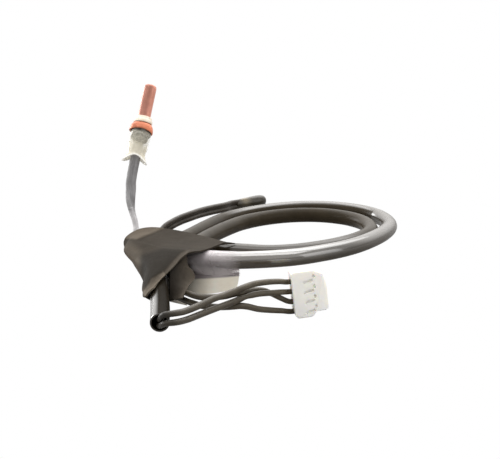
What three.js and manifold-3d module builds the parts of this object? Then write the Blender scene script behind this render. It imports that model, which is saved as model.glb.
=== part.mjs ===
// Twin thermistor lead for an air conditioner: a copper-capsule pipe sensor and a dipped air sensor
// share one coiled, sheathed lead that ends in a four-way wire-to-board connector.
// Millimetres, +Z up, +X to the viewer's right, +Y away from the viewer.
// The coil lies flat. The tape wrap and the upright pipe sensor are on its left, the connector
// is on the near side with its mating face to the right, and the air sensor is on the far side.
import * as THREE from 'three';
import { mergeVertices } from 'three/addons/utils/BufferGeometryUtils.js';
import Module from 'manifold-3d';

// ================= driving dimensions =================
const SHEATH_OD = 4.4;       // PVC sheath over the pipe-sensor pair
const SHEATH_ID = 3.5;
const WIRE_OD = 1.3;         // insulated wire
const CORE_OD = 0.62;        // its bared strand bundle
const PAIR_PITCH = 1.44;     // centre distance of two wires lying side by side
const HALF_PAIR = PAIR_PITCH / 2;
const JOINT_GAP = 1.0;       // gap left in a wire where it flexes

const PIN_PITCH = 2.5;
const PIN_COUNT = 4;
const HOUSING_L = 8.4;       // along the mating axis
const HOUSING_T = 5.0;
const HOUSING_TOP = 6.5;     // height above the pin row centre
const HOUSING_BOTTOM = 5.1;  // depth below the pin row centre
const SHOULDER_L = 4.3;      // length of the wire-end block
const NOSE_STEP = 0.85;      // step down to the mating nose
const CAVITY_W = 1.7;        // terminal cavity section
const CAVITY_T = 2.2;

const CAPSULE_OD = 3.4;      // copper capsule tube
const CAPSULE_WALL = 0.35;
const BELL_OD = 6.5;         // flared end of the capsule
const SLEEVE_WALL = 0.35;    // clear sleeve
const CHIP = [1.1, 0.6, 1.4]; // thermistor chip
const LEG_OD = 0.3;          // thermistor leg
const FERRULE_OD = 1.05;     // splice ferrule
const FERRULE_BORE = 0.84;
const FERRULE_L = 2.2;

const LEAD_OD = 1.45;        // heavier twin lead of the air sensor
const LEAD_PITCH = 1.62;
const HALF_LEAD = LEAD_PITCH / 2;
const SPLICE_OD = 2.4;       // insulated butt splice
const SPLICE_ID = 1.75;
const SPLICE_L = 7.5;
const BEAD_OD = 3.1;         // dipped bead
const BEAD_L = 11.0;

const TAPE_T = 0.5;          // wound tape, two layers
const LABEL_T = 0.35;        // folded label flag

// the finished group is shifted so that this point, centred in plan and lowest in height, is zero
const ORIGIN = new THREE.Vector3(4.14, -19.68, -0.42);

const SIDES = [[1, -1], [2, 1]]; // mesh number and the side of the axis it lies on

// ================= materials =================
const standard = (settings) => new THREE.MeshStandardMaterial(settings);
const materials = {
  pvc: standard({ color: 0x2b2827, roughness: 0.32 }),
  wire: standard({ color: 0x3a3430, roughness: 0.42 }),
  greyWire: standard({ color: 0x8a8986, roughness: 0.45 }),
  tape: standard({ color: 0x5a524b, roughness: 0.62 }),
  label: standard({ color: 0xe9e2d2, roughness: 0.55 }),
  nylon: standard({ color: 0xf2eee4, roughness: 0.45 }),
  tin: standard({ color: 0xc4c4c0, roughness: 0.32, metalness: 1 }),
  copper: standard({ color: 0xb5623f, roughness: 0.35, metalness: 1 }),
  strand: standard({ color: 0xc07a4e, roughness: 0.35, metalness: 1 }),
  ring: standard({ color: 0xf0e6d6, roughness: 0.5 }),
  epoxy: standard({ color: 0x8c9188, roughness: 0.5 }),
  clear: standard({ color: 0xe8e6da, roughness: 0.2, transparent: true, opacity: 0.5 }),
  bead: standard({ color: 0x23201f, roughness: 0.25 }),
  chip: standard({ color: 0x4a4440, roughness: 0.5 }),
  splice: standard({ color: 0x2f3f5c, roughness: 0.4 }),
};

// ================= groups and points =================
const root = new THREE.Group();

function add(name, geometry, material, parent = root) {
  const mesh = new THREE.Mesh(geometry, material);
  mesh.name = name;
  parent.add(mesh);
  return mesh;
}

// a group with its own axes; y follows from z and x
function addFramedGroup(xAxis, zAxis, position) {
  const yAxis = new THREE.Vector3().crossVectors(zAxis, xAxis);
  const group = new THREE.Group();
  group.applyMatrix4(new THREE.Matrix4().makeBasis(xAxis, yAxis, zAxis).setPosition(position));
  root.add(group);
  return group;
}

const vec = (x, y, z) => new THREE.Vector3(x, y, z);
const toVectors = (rows) => rows.map((row) => vec(...row));
// a point given in a group's axes, as [x, y, z] in the root's axes
const fromGroup = (group, x, y, z) => vec(x, y, z).applyMatrix4(group.matrix).toArray();
const smoothCurve = (points) => new THREE.CatmullRomCurve3(points, false, 'centripetal');

// ================= strands =================
// how far a strand may turn (degrees) or run (mm) before it gets another station
const WIRE_SPACING = { maxTurn: 14, maxRun: 9 };
const WIRE_END_SPACING = { maxTurn: 16, maxRun: 9 };
const SHEATH_SPACING = { maxTurn: 12, maxRun: 14 };
const CURVE_SAMPLES = 1200;
const SHORTEST_END_RUN = 0.8;

function chordTangents(points) {
  const last = points.length - 1;
  return points.map((_, i) => new THREE.Vector3()
    .subVectors(points[Math.min(i + 1, last)], points[Math.max(i - 1, 0)])
    .normalize());
}

// normals that start as near to +Z as they can and turn only as much as the tangents do
function carriedNormals(tangents) {
  const squareTo = (normal, tangent) =>
    normal.addScaledVector(tangent, -normal.dot(tangent)).normalize();
  const normals = [squareTo(vec(0, 0, 1), tangents[0])];
  for (let i = 1; i < tangents.length; i++) {
    const turn = new THREE.Quaternion().setFromUnitVectors(tangents[i - 1], tangents[i]);
    normals.push(squareTo(normals[i - 1].clone().applyQuaternion(turn), tangents[i]));
  }
  return normals;
}

// an extrusion path whose stations carry their own frames
class Strand extends THREE.Curve {
  constructor(points, tangents, normals = carriedNormals(tangents)) {
    super();
    this.points = points;
    this.tangents = tangents;
    this.normals = normals;
    this.binormals = tangents.map((tangent, i) =>
      new THREE.Vector3().crossVectors(tangent, normals[i]).normalize());
  }

  getSpacedPoints() {
    return this.points.map((point) => point.clone());
  }

  computeFrenetFrames() {
    return { tangents: this.tangents, normals: this.normals, binormals: this.binormals };
  }

  // a parallel strand, moved along the normals
  offset(distance) {
    const moved = this.points.map((point, i) =>
      point.clone().addScaledVector(this.normals[i], distance));
    return new Strand(moved, this.tangents, this.normals);
  }
}

// a strand along a smooth curve, its stations closer together where it bends
function strandThrough(controlPoints, { maxTurn, maxRun }) {
  const curve = smoothCurve(controlPoints);
  const samples = Array.from({ length: CURVE_SAMPLES + 1 }, (_, i) =>
    curve.getPoint(i / CURVE_SAMPLES));
  const tangents = chordTangents(samples);
  const keep = [0];
  let turn = 0;
  let run = 0;
  for (let i = 1; i < CURVE_SAMPLES; i++) {
    turn += THREE.MathUtils.radToDeg(tangents[i].angleTo(tangents[i - 1]));
    run += samples[i].distanceTo(samples[i - 1]);
    if (turn >= maxTurn || run >= maxRun) {
      keep.push(i);
      turn = 0;
      run = 0;
    }
  }
  const endRun = samples[CURVE_SAMPLES].distanceTo(samples[keep.at(-1)]);
  if (keep.length > 1 && endRun < SHORTEST_END_RUN) keep.pop();
  keep.push(CURVE_SAMPLES);
  return new Strand(keep.map((i) => samples[i]), keep.map((i) => tangents[i]));
}

// a regular polygon, with a concentric hole when innerRadius is given
function roundShape(radius, sides, innerRadius = 0) {
  const corners = (r) => Array.from({ length: sides }, (_, i) => {
    const angle = (i + 0.5) / sides * Math.PI * 2;
    return new THREE.Vector2(Math.cos(angle) * r, Math.sin(angle) * r);
  });
  const shape = new THREE.Shape(corners(radius));
  if (innerRadius > 0) shape.holes.push(new THREE.Path(corners(innerRadius)));
  return shape;
}

function extrudeAlong(strand, radius, sides, innerRadius) {
  return new THREE.ExtrudeGeometry(roundShape(radius, sides, innerRadius), {
    steps: strand.points.length - 1,
    extrudePath: strand,
    bevelEnabled: false,
    curveSegments: 1,
  });
}

// path: rows of x, y, z
function wireGeometry(path, radius = WIRE_OD / 2, sides = 7, innerRadius = 0) {
  return extrudeAlong(strandThrough(toVectors(path), WIRE_SPACING), radius, sides, innerRadius);
}

function addWires(prefix, paths, material = materials.wire, radius = WIRE_OD / 2) {
  paths.forEach((path, i) => add(`${prefix}_${i + 1}`, wireGeometry(path, radius), material));
}

// ================= sheets =================
// a point on the surface through several smooth rows
function loftThrough(rows) {
  const rowCurves = rows.map((row) => smoothCurve(toVectors(row)));
  return (alongRow, acrossRows) =>
    smoothCurve(rowCurves.map((curve) => curve.getPoint(alongRow))).getPoint(acrossRows);
}

// a thin closed sheet: a flat box carried onto a surface
function sheetGeometry(uSegments, vSegments, surface, thickness) {
  const box = new THREE.BoxGeometry(1, 1, 1, uSegments, vSegments, 1);
  box.deleteAttribute('uv');
  box.deleteAttribute('normal');
  const geometry = mergeVertices(box, 1e-5);
  const position = geometry.attributes.position;
  const nudge = 1e-3;
  for (let i = 0; i < position.count; i++) {
    const u = position.getX(i) + 0.5;
    const v = position.getY(i) + 0.5;
    const uSlope = surface(Math.min(u + nudge, 1), v).sub(surface(Math.max(u - nudge, 0), v));
    const vSlope = surface(u, Math.min(v + nudge, 1)).sub(surface(u, Math.max(v - nudge, 0)));
    const normal = uSlope.cross(vSlope).normalize();
    const point = surface(u, v).addScaledVector(normal, position.getZ(i) * thickness);
    position.setXYZ(i, point.x, point.y, point.z);
  }
  geometry.computeVertexNormals();
  return geometry;
}

// ================= simple shapes and booleans =================
const wasm = await Module();
wasm.setup();

function solid(geometry) {
  geometry.deleteAttribute('normal');
  geometry.deleteAttribute('uv');
  const merged = mergeVertices(geometry, 1e-4);
  return new wasm.Manifold(new wasm.Mesh({
    numProp: 3,
    vertProperties: new Float32Array(merged.attributes.position.array),
    triVerts: new Uint32Array(merged.index.array),
  }));
}

function geometryOf(manifold) {
  const mesh = manifold.getMesh();
  const geometry = new THREE.BufferGeometry();
  const vertices = new Float32Array(mesh.vertProperties);
  geometry.setAttribute('position', new THREE.BufferAttribute(vertices, 3));
  geometry.setIndex(new THREE.BufferAttribute(new Uint32Array(mesh.triVerts), 1));
  geometry.computeVertexNormals();
  return geometry;
}

const block = (size, centre) => solid(new THREE.BoxGeometry(...size).translate(...centre));

// an x, y outline given thickness equally either side of z = 0
function slab(outline, thickness) {
  const shape = new THREE.Shape(outline.map(([x, y]) => new THREE.Vector2(x, y)));
  return new THREE.ExtrudeGeometry(shape, { depth: thickness, bevelEnabled: false })
    .translate(0, 0, -thickness / 2);
}

// profile rows are radius, z; the lathe turns them about z
function turned(profile, sides = 14) {
  const points = profile.map(([radius, z]) => new THREE.Vector2(radius, z));
  return new THREE.LatheGeometry(points, sides).rotateX(Math.PI / 2);
}

const rodAlongZ = (radius, length, sides) =>
  new THREE.CylinderGeometry(radius, radius, length, sides).rotateX(Math.PI / 2);

// cutters for a pair of wires passing through a body
const BORE_L = 8;
const wireBores = (radius, sides, halfPitch, z) =>
  SIDES.map(([, side]) => solid(rodAlongZ(radius, BORE_L, sides).translate(side * halfPitch, 0, z)));

// ================= sheathed lead =================
// x, y, z along the sheath's centreline
const SHEATH_PATH = [
  // from the open mouth to the coil
  [-19.8, -70.6, 5.6], [-20.3, -63, 6.3], [-21.2, -54.5, 7.4], [-22.4, -45, 8.6],
  [-22.9, -36, 9.6], [-22.2, -26, 10.3], [-19.4, -15.5, 10.7], [-15.6, -5.5, 10.8],
  // outer turn, far side to near side
  [-12.4, 3, 10.8], [-8.2, 12.6, 10.8], [-1.6, 21.2, 10.8], [6.5, 27.8, 10.8],
  [15.7, 31.6, 10.8], [24.6, 31.2, 10.8], [32.6, 26.8, 10.8], [37.6, 20.4, 10.8],
  [40.0, 12.6, 10.8], [40.2, 4.6, 10.8], [36.9, -5.3, 10.8], [30.0, -16.8, 10.8],
  [24.0, -23.35, 10.8], [18.3, -27.75, 10.8], [12.8, -31.3, 10.8], [7.4, -33.4, 10.8],
  [1.6, -34.7, 10.8], [-4.2, -35.2, 10.8], [-9.5, -34.4, 10.8],
  // tight turn inside the tape
  [-13.9, -31.2, 10.6], [-16.0, -25.6, 10.3], [-15.6, -18.6, 10.1], [-13.4, -10.6, 10.0],
  // inner turn, far side to near side
  [-10.6, -3.2, 10.0], [-7.4, 4.0, 10.0], [-2.2, 13.2, 10.0], [4.8, 20.0, 10.0],
  [13.4, 24.2, 10.0], [21.4, 24.4, 10.0], [28.2, 20.9, 10.0], [32.8, 14.6, 10.05],
  [34.6, 7.0, 10.1], [33.8, -1.5, 10.2], [30.0, -9.6, 10.3], [24.2, -16.4, 10.3],
  [17.8, -21.4, 10.3], [10.8, -24.9, 10.3], [4.4, -25.9, 10.3], [-2.0, -24.4, 10.3],
  [-9.0, -22.3, 10.3],
];
const sheathLine = strandThrough(toVectors(SHEATH_PATH), SHEATH_SPACING);

function addSheath() {
  add('sheath', extrudeAlong(sheathLine, SHEATH_OD / 2, 12, SHEATH_ID / 2), materials.pvc);
}

const PROBE_EXIT_Z = 15.7; // height where the pair ends below the pipe sensor

// The two pipe-sensor wires run through the sheath, one above the other at the mouth.
// toMouth: x, y, z from beside the connector wires to the sheath mouth.
// toProbe: x, y, z from the sheath's inner end, under the tape, up towards the pipe sensor.
const PAIR_WIRES = [
  {
    side: 1,
    toMouth: [
      [-3.39, -56.90, 8.88], [-5.74, -59.00, 8.57], [-7.93, -62.00, 8.66],
      [-11.15, -66.00, 8.15], [-14.26, -70.00, 8.02], [-16.67, -73.00, 8.42],
      [-18.59, -73.40, 8.23],
    ],
    toProbe: [
      [-10.6, -21.9, 10.3], [-12.0, -21.3, 8.3], [-13.6, -20.9, 7.1], [-16.0, -20.5, 6.9],
      [-19.0, -20.0, 7.15], [-24.0, -19.2, 7.3], [-28.4, -18.4, 8.6], [-30.5, -17.6, 11.0],
      [-31.0, -16.7, 13.2], [-31.05, -15.98, PROBE_EXIT_Z],
    ],
  },
  {
    side: -1,
    toMouth: [
      [-3.40, -56.90, 6.52], [-4.39, -58.00, 6.44], [-7.94, -62.30, 6.34],
      [-11.15, -66.60, 6.24], [-14.03, -70.60, 6.24], [-16.25, -73.20, 6.49],
      [-18.17, -73.60, 6.39],
    ],
    toProbe: [
      [-10.4, -22.6, 8.9], [-11.6, -22.9, 7.6], [-13.6, -23.1, 6.9], [-16.0, -22.8, 6.85],
      [-19.0, -22.2, 7.1], [-22.6, -21.4, 7.4], [-25.2, -20.4, 9.0], [-27.3, -18.8, 11.0],
      [-28.9, -16.6, 13.2], [-30.55, -14.62, PROBE_EXIT_Z],
    ],
  },
];

function pairStrand({ side, toMouth, toProbe }) {
  const stationsOf = (points) => strandThrough(points, WIRE_END_SPACING).points;
  const inSheath = sheathLine.offset(side * HALF_PAIR);
  // each free end stops one station short of the sheath's own stations
  const before = stationsOf([...toVectors(toMouth), inSheath.points[0]]).slice(0, -1);
  const after = stationsOf([inSheath.points.at(-1), ...toVectors(toProbe)]).slice(1);
  const points = [...before, ...inSheath.points, ...after];
  const tangents = chordTangents(points);
  tangents.splice(before.length, inSheath.tangents.length, ...inSheath.tangents);
  return new Strand(points, tangents);
}

function addPairWires() {
  PAIR_WIRES.forEach((wire, i) => {
    const geometry = extrudeAlong(pairStrand(wire), WIRE_OD / 2, 6);
    add(`pair_wire_${i + 1}`, geometry, materials.wire);
  });
}

// ================= air-sensor pair =================
// x, y, z from the connector side into the tape
const AIR_WIRES = [
  [
    [-3.41, -55.30, 7.89], [-5.82, -55.60, 7.35], [-8.64, -55.00, 6.86],
    [-11.78, -53.00, 6.35], [-14.81, -49.50, 6.18], [-16.7, -43.0, 5.4],
    [-18.3, -36.0, 5.1], [-19.8, -31.2, 4.9], [-20.15, -29.0, 4.9], [-20.65, -25.6, 4.9],
  ],
  [
    [-3.41, -56.30, 5.09], [-7.01, -55.40, 4.67], [-11.08, -53.20, 4.21],
    [-13.82, -50.60, 4.17], [-15.89, -47.80, 4.14], [-19.8, -41.4, 4.2],
    [-21.8, -35.4, 4.6], [-22.9, -30.4, 4.85], [-23.2, -28.4, 4.9], [-23.5, -26.2, 4.9],
  ],
];
// near end of each butt splice, and the direction both run in
const SPLICE_STARTS = [[-20.45, -27.0, 4.9], [-23.3, -27.6, 4.9]];
const SPLICE_DIRECTION = vec(-0.14, 0.99, 0).normalize();
// x, y, z of the heavier sensor lead, from the splices to the far side
const AIR_LEADS = [
  [
    [-20.93, -23.6, 4.9], [-21.2, -21.7, 4.9], [-21.51, -19.5, 4.9], [-23.0, -11.6, 5.1],
    [-25.2, -5.6, 6.6], [-25.7, -2.2, 9.4], [-24.4, 0.8, 11.5], [-22.7, 3.3, 12.36],
  ],
  [
    [-23.78, -24.2, 4.9], [-24.05, -22.3, 4.9], [-24.36, -20.1, 4.9], [-25.6, -11.6, 5.0],
    [-27.6, -4.6, 5.8], [-27.4, -0.9, 7.9], [-25.2, 1.3, 9.8], [-22.5, 3.5, 10.78],
  ],
];

// inside the tape each wire is joined to the heavier lead in an insulated butt splice
function addSplices() {
  SPLICE_STARTS.forEach((start, i) => {
    const end = vec(...start).addScaledVector(SPLICE_DIRECTION, SPLICE_L).toArray();
    const geometry = wireGeometry([start, end], SPLICE_OD / 2, 10, SPLICE_ID / 2);
    add(`air_splice_${i + 1}`, geometry, materials.splice);
  });
}

function addAirPair() {
  addWires('air_wire', AIR_WIRES);
  addSplices();
  addWires('air_lead', AIR_LEADS, materials.wire, LEAD_OD / 2);
}

// ================= tape =================
// x, y, z; rows run from the near tip to the far edge, columns from the loose right edge
// over the top, round the left fold and back underneath
const TAPE_ROWS = [
  [
    [-22.42, -57.00, 9.77], [-22.97, -57.60, 9.51], [-23.63, -57.60, 8.81],
    [-24.18, -57.00, 7.51], [-23.86, -53.50, 5.40], [-22.21, -50.00, 3.87],
    [-19.30, -47.50, 3.50],
  ],
  [
    [-20.69, -52.50, 10.70], [-22.32, -52.50, 11.21], [-24.15, -52.00, 10.23],
    [-25.31, -51.50, 8.25], [-24.91, -50.00, 5.98], [-22.48, -47.00, 3.23],
    [-18.59, -44.00, 3.11],
  ],
  [
    [-18.48, -47.00, 12.02], [-21.19, -46.00, 12.58], [-24.26, -45.50, 11.83],
    [-26.12, -44.00, 9.55], [-26.19, -43.00, 6.76], [-23.50, -41.00, 2.87],
    [-17.41, -39.50, 2.95],
  ],
  [
    [-15.78, -39.50, 13.35], [-19.99, -36.00, 13.62], [-25.86, -35.00, 12.35],
    [-28.88, -33.00, 10.16], [-28.64, -31.00, 7.54], [-25.07, -32.00, 2.65],
    [-16.06, -33.00, 2.54],
  ],
  [
    [-11.74, -36.00, 13.54], [-18.52, -28.00, 13.67], [-26.90, -26.50, 13.58],
    [-32.69, -24.00, 11.25], [-31.55, -23.00, 8.71], [-27.11, -24.00, 2.86],
    [-15.42, -26.00, 2.46],
  ],
  [
    [-6.21, -26.60, 13.42], [-14.26, -20.60, 14.07], [-22.35, -18.20, 15.09],
    [-29.23, -18.60, 14.98], [-33.43, -18.40, 11.83], [-30.31, -15.50, 5.04],
    [-17.40, -15.00, 1.40],
  ],
];

function addTape() {
  add('tape_wrap', sheetGeometry(14, 8, loftThrough(TAPE_ROWS), TAPE_T), materials.tape);
}

// ================= label flag under the near strand =================
// x, y, z; rows run from right to left, columns from the upper far edge to the lower near edge
const LABEL_ROWS = [
  [
    [-2.81, -31.60, 7.70], [-2.71, -33.60, 7.70], [-2.70, -35.10, 7.29],
    [-2.92, -35.70, 5.52], [-3.40, -35.90, 3.49],
  ],
  [
    [-8.94, -31.40, 7.15], [-8.88, -33.20, 7.04], [-8.93, -34.80, 6.68],
    [-9.43, -35.40, 4.65], [-9.85, -35.60, 2.20],
  ],
  [
    [-13.86, -30.20, 6.41], [-14.00, -31.60, 6.30], [-14.23, -33.00, 6.10],
    [-15.09, -33.60, 3.89], [-16.03, -33.80, 1.47],
  ],
];

function addLabel() {
  const labelPoint = loftThrough(LABEL_ROWS);
  // u runs from the left row to the right one, v down the columns
  const surface = (u, v) => labelPoint(v, 1 - u);
  add('marker_label', sheetGeometry(6, 8, surface, LABEL_T), materials.label);
}

// ================= connector =================
// local axes: x along the mating direction, y up the pin row, z towards the viewer
const YAW = THREE.MathUtils.degToRad(7);
const ROLL = THREE.MathUtils.degToRad(6.5);

function addConnectorGroup() {
  const mating = vec(Math.cos(YAW) * Math.cos(ROLL), Math.sin(YAW), Math.sin(ROLL)).normalize();
  const pinRow = vec(-Math.sin(ROLL), 0, Math.cos(ROLL));
  pinRow.addScaledVector(mating, -pinRow.dot(mating)).normalize();
  const towardsViewer = new THREE.Vector3().crossVectors(mating, pinRow);
  return addFramedGroup(mating, towardsViewer, vec(10.15, -46.4, 4.6));
}
const connector = addConnectorGroup();
const pinY = (i) => PIN_PITCH * ((PIN_COUNT - 1) / 2 - i);

const NOSE_START = SHOULDER_L + 0.5;
const NOSE_BOTTOM = -HOUSING_BOTTOM + NOSE_STEP;
const NOSE_TOP = HOUSING_TOP - NOSE_STEP;
// x, y around the housing's side view
const HOUSING_OUTLINE = [
  [0, -HOUSING_BOTTOM + 0.9], [0.7, -HOUSING_BOTTOM], [SHOULDER_L, -HOUSING_BOTTOM],
  [NOSE_START, NOSE_BOTTOM], [HOUSING_L, NOSE_BOTTOM], [HOUSING_L, NOSE_TOP - 0.6],
  [HOUSING_L - 0.9, NOSE_TOP], [NOSE_START, NOSE_TOP], [SHOULDER_L, HOUSING_TOP],
  [0.5, HOUSING_TOP], [0, HOUSING_TOP - 0.5],
];

// a cut into the viewer-side wall, down to floorZ
function viewerSideCut(length, height, x, y, floorZ) {
  const depth = HOUSING_T / 2 + 1;
  return block([length, height, depth], [x, y, floorZ + depth / 2]);
}

function addHousing() {
  let housing = solid(slab(HOUSING_OUTLINE, HOUSING_T));
  for (let i = 0; i < PIN_COUNT; i++) {
    const y = pinY(i);
    const cavity = block([HOUSING_L + 2, CAVITY_W, CAVITY_T], [HOUSING_L / 2, y, 0]);
    const lanceWindow = viewerSideCut(2.5, 0.75, 3.95, y, 0.4);
    const squareNotch = viewerSideCut(0.6, 0.6, 5.6, y + PIN_PITCH / 2, 1.5);
    housing = housing.subtract(cavity).subtract(lanceWindow).subtract(squareNotch);
  }
  // shallow recesses on the far side of the mating nose
  for (const y of [pinY(0) + 0.6, pinY(PIN_COUNT - 1) - 0.2]) {
    housing = housing.subtract(block([3.0, 3.2, 0.9], [HOUSING_L - 1.0, y, -HOUSING_T / 2]));
  }
  add('connector_housing', geometryOf(housing), materials.nylon, connector);
}

const WIRE_END = 2.0;     // depth inside the housing where insulation gives way to bare strands
const BARE_L = 2.1;
const TERMINAL_T = 1.5;
// x, y around the crimp terminal: barrel, neck and wider box contact
const TERMINAL_OUTLINE = [
  [3.0, -0.45], [4.6, -0.45], [5.0, -0.62], [7.9, -0.62],
  [7.9, 0.62], [5.0, 0.62], [4.6, 0.45], [3.0, 0.45],
];

function terminalGeometry() {
  const postSocket = block([4.2, 0.74, 0.9], [7.1, 0, 0]);
  const strandBarrel = block([2.0, 0.76, 0.9], [3.6, 0, 0.16]);
  const blank = solid(slab(TERMINAL_OUTLINE, TERMINAL_T));
  return geometryOf(blank.subtract(postSocket).subtract(strandBarrel));
}

function addTerminals() {
  for (let i = 0; i < PIN_COUNT; i++) {
    const terminal = add(`crimp_terminal_${i + 1}`, terminalGeometry(), materials.tin, connector);
    terminal.position.set(0, pinY(i), 0);
    const core = new THREE.CylinderGeometry(CORE_OD / 2, CORE_OD / 2, BARE_L, 6)
      .rotateZ(Math.PI / 2);
    const conductor = add(`conductor_end_${i + 1}`, core, materials.strand, connector);
    conductor.position.set(WIRE_END + 0.05 + BARE_L / 2, pinY(i), 0.1);
  }
}

// x, y, z from beside the pair and air wires towards the housing, top pin first
const CONNECTOR_WIRES = [
  [[-2.40, -56.30, 9.17], [0.70, -53.00, 9.48], [3.31, -51.00, 9.39], [6.94, -48.40, 8.90]],
  [
    [-2.41, -56.30, 6.78], [-0.94, -54.70, 6.94], [1.89, -52.20, 6.91],
    [4.52, -50.30, 6.58], [7.19, -48.40, 6.21],
  ],
  [
    [-2.42, -55.00, 7.90], [0.71, -51.00, 7.42], [3.35, -49.00, 6.78],
    [5.29, -48.00, 5.70], [7.48, -47.30, 4.35],
  ],
  [
    [-2.41, -56.00, 5.09], [-0.70, -54.80, 4.54], [1.89, -52.60, 3.24],
    [4.78, -50.20, 2.26], [7.47, -48.30, 1.53],
  ],
];

function addConnectorWires() {
  addWires('connector_wire', CONNECTOR_WIRES.map((path, i) => [
    ...path,
    fromGroup(connector, -0.6, pinY(i), 0),
    fromGroup(connector, WIRE_END - 0.15, pinY(i), 0),
  ]));
}

// ================= thermistor chips =================
function addChip(prefix, group, z) {
  const chip = add(`${prefix}_thermistor`, new THREE.BoxGeometry(...CHIP), materials.chip, group);
  chip.position.set(0, 0, z);
}

function addLeg(name, path, group) {
  add(name, wireGeometry(path, LEG_OD / 2, 6), materials.tin, group);
}

// ================= pipe sensor =================
// local z runs from the tip down towards the lead
const probeAxis = vec(-0.18, -0.411, -0.8936).normalize();
const probeSide = vec(0, 1, 0).cross(probeAxis).normalize();
const probe = addFramedGroup(probeSide, probeAxis, vec(-27.0, -3.3, 51.8));

const TUBE_R = CAPSULE_OD / 2;
const TUBE_INNER_R = TUBE_R - CAPSULE_WALL;
const BELL_R = BELL_OD / 2;
const BELL_WALL = 0.4;
const TUBE_END = 10.8;
const BELL_END = 13.6;
const SLEEVE_START = 13.85;

// profiles: radius, distance from the tip
const CAPSULE_PROFILE = [
  // outside, from the tip
  [0, 0], [TUBE_R * 0.6, 0], [TUBE_R * 0.88, 0.28], [TUBE_R, 0.9], [TUBE_R, TUBE_END],
  [BELL_R * 0.82, TUBE_END + 0.7], [BELL_R, TUBE_END + 1.9], [BELL_R, BELL_END],
  // inside, back to the tip
  [BELL_R - BELL_WALL, BELL_END], [BELL_R - BELL_WALL, TUBE_END + 2.1],
  [BELL_R * 0.66, TUBE_END + 1.15], [TUBE_INNER_R, TUBE_END + 0.5], [TUBE_INNER_R, 1.4],
  [TUBE_INNER_R * 0.6, 0.7], [0, 0.55],
];
const RING_PROFILE = [
  [TUBE_R + 0.15, 9.3], [TUBE_R + 0.62, 9.45], [TUBE_R + 0.72, 10.6],
  [TUBE_R + 0.15, 10.7], [TUBE_R + 0.15, 9.3],
];
const SLEEVE_PROFILE = [
  // outside, towards the lead
  [BELL_R - 0.35, SLEEVE_START], [BELL_R - 0.3, 15.0], [2.62, 18.0],
  [2.5, 19.6], [2.75, 20.8], [3.25, 22.2],
  // inside, back towards the tip
  [3.25 - SLEEVE_WALL, 22.3], [2.75 - SLEEVE_WALL, 20.95], [2.5 - SLEEVE_WALL, 19.6],
  [2.62 - SLEEVE_WALL, 18.0], [BELL_R - 0.3 - SLEEVE_WALL, 15.0],
  [BELL_R - 0.35 - SLEEVE_WALL, SLEEVE_START], [BELL_R - 0.35, SLEEVE_START],
];
const POTTING_PROFILE = [
  [0, 12.3], [1.9, 12.5], [2.2, 13.4], [2.15, 15.2], [1.5, 16.4], [0, 16.8],
];

function addProbeShell() {
  add('probe_capsule', turned(CAPSULE_PROFILE), materials.copper, probe);
  add('probe_ring', turned(RING_PROFILE), materials.ring, probe);
  add('probe_sleeve', turned(SLEEVE_PROFILE), materials.clear, probe);
}

// sealing compound: a rounded plug the two wires pass through
function addPotting() {
  let plug = solid(turned(POTTING_PROFILE, 12));
  for (const bore of wireBores(WIRE_OD / 2 + 0.2, 8, HALF_PAIR, 14.5)) {
    plug = plug.subtract(bore);
  }
  add('probe_potting', geometryOf(plug), materials.epoxy, probe);
}

const PROBE_CHIP_Z = 2.6;
const PROBE_LEG_X = 0.68;
const PROBE_LEG_START = PROBE_CHIP_Z + CHIP[2] / 2 + 0.12;
const PROBE_LEG_END = 9.6;
const PROBE_CORE_START = PROBE_LEG_END + 0.1;
const PROBE_CORE_END = 12.6;
const FERRULE_START = 8.6;

function addProbeSensing() {
  addChip('probe', probe, PROBE_CHIP_Z);
  for (const [number, side] of SIDES) {
    const x = side * PROBE_LEG_X;
    addLeg(`probe_leg_${number}`, [
      [side * 0.3, 0, PROBE_LEG_START],
      [side * 0.34, 0, PROBE_LEG_START + 0.8],
      [x, 0, PROBE_LEG_START + 1.8],
      [x, 0, PROBE_LEG_END],
    ], probe);
    const core = rodAlongZ(CORE_OD / 2, PROBE_CORE_END - PROBE_CORE_START, 6);
    const conductor = add(`probe_conductor_${number}`, core, materials.strand, probe);
    conductor.position.set(x, 0, (PROBE_CORE_END + PROBE_CORE_START) / 2);
  }
}

function addFerrules() {
  for (const [number, side] of SIDES) {
    const shape = roundShape(FERRULE_OD / 2, 8, FERRULE_BORE / 2);
    const tube = new THREE.ExtrudeGeometry(shape, { depth: FERRULE_L, bevelEnabled: false });
    const ferrule = add(`probe_ferrule_${number}`, tube, materials.tin, probe);
    ferrule.position.set(side * PROBE_LEG_X, 0, FERRULE_START);
  }
}

// the pair from below the sensor into the sealing compound, in two lengths
const FLEX_Z = 26.0; // height at which the lead flexes a second time
const LEAD_BOTTOM_Z = PROBE_EXIT_Z + JOINT_GAP;
const LEAD_TOP_Z = FLEX_Z - JOINT_GAP / 2;
const UPPER_WIRE_Z = FLEX_Z + JOINT_GAP / 2;

function addProbeLeads() {
  addWires('probe_lead', [
    [[-31.1, -15.9, LEAD_BOTTOM_Z], [-31.9, -15.6, 18.6], [-32.65, -14.6, 22.2],
      [-32.7, -13.3, LEAD_TOP_Z]],
    [[-30.6, -14.5, LEAD_BOTTOM_Z], [-31.1, -14.0, 18.6], [-31.4, -13.6, 22.2],
      [-31.25, -13.0, LEAD_TOP_Z]],
  ], materials.greyWire);
  const intoPlug = (x) => [21.0, 17.5, 12.75].map((z) => fromGroup(probe, x, 0, z));
  addWires('probe_wire', [
    [[-32.7, -13.1, UPPER_WIRE_Z], [-32.35, -12.7, 29.0], ...intoPlug(HALF_PAIR)],
    [[-31.25, -12.9, UPPER_WIRE_Z], [-30.9, -12.5, 29.0], ...intoPlug(-HALF_PAIR)],
  ], materials.greyWire);
}

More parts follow.
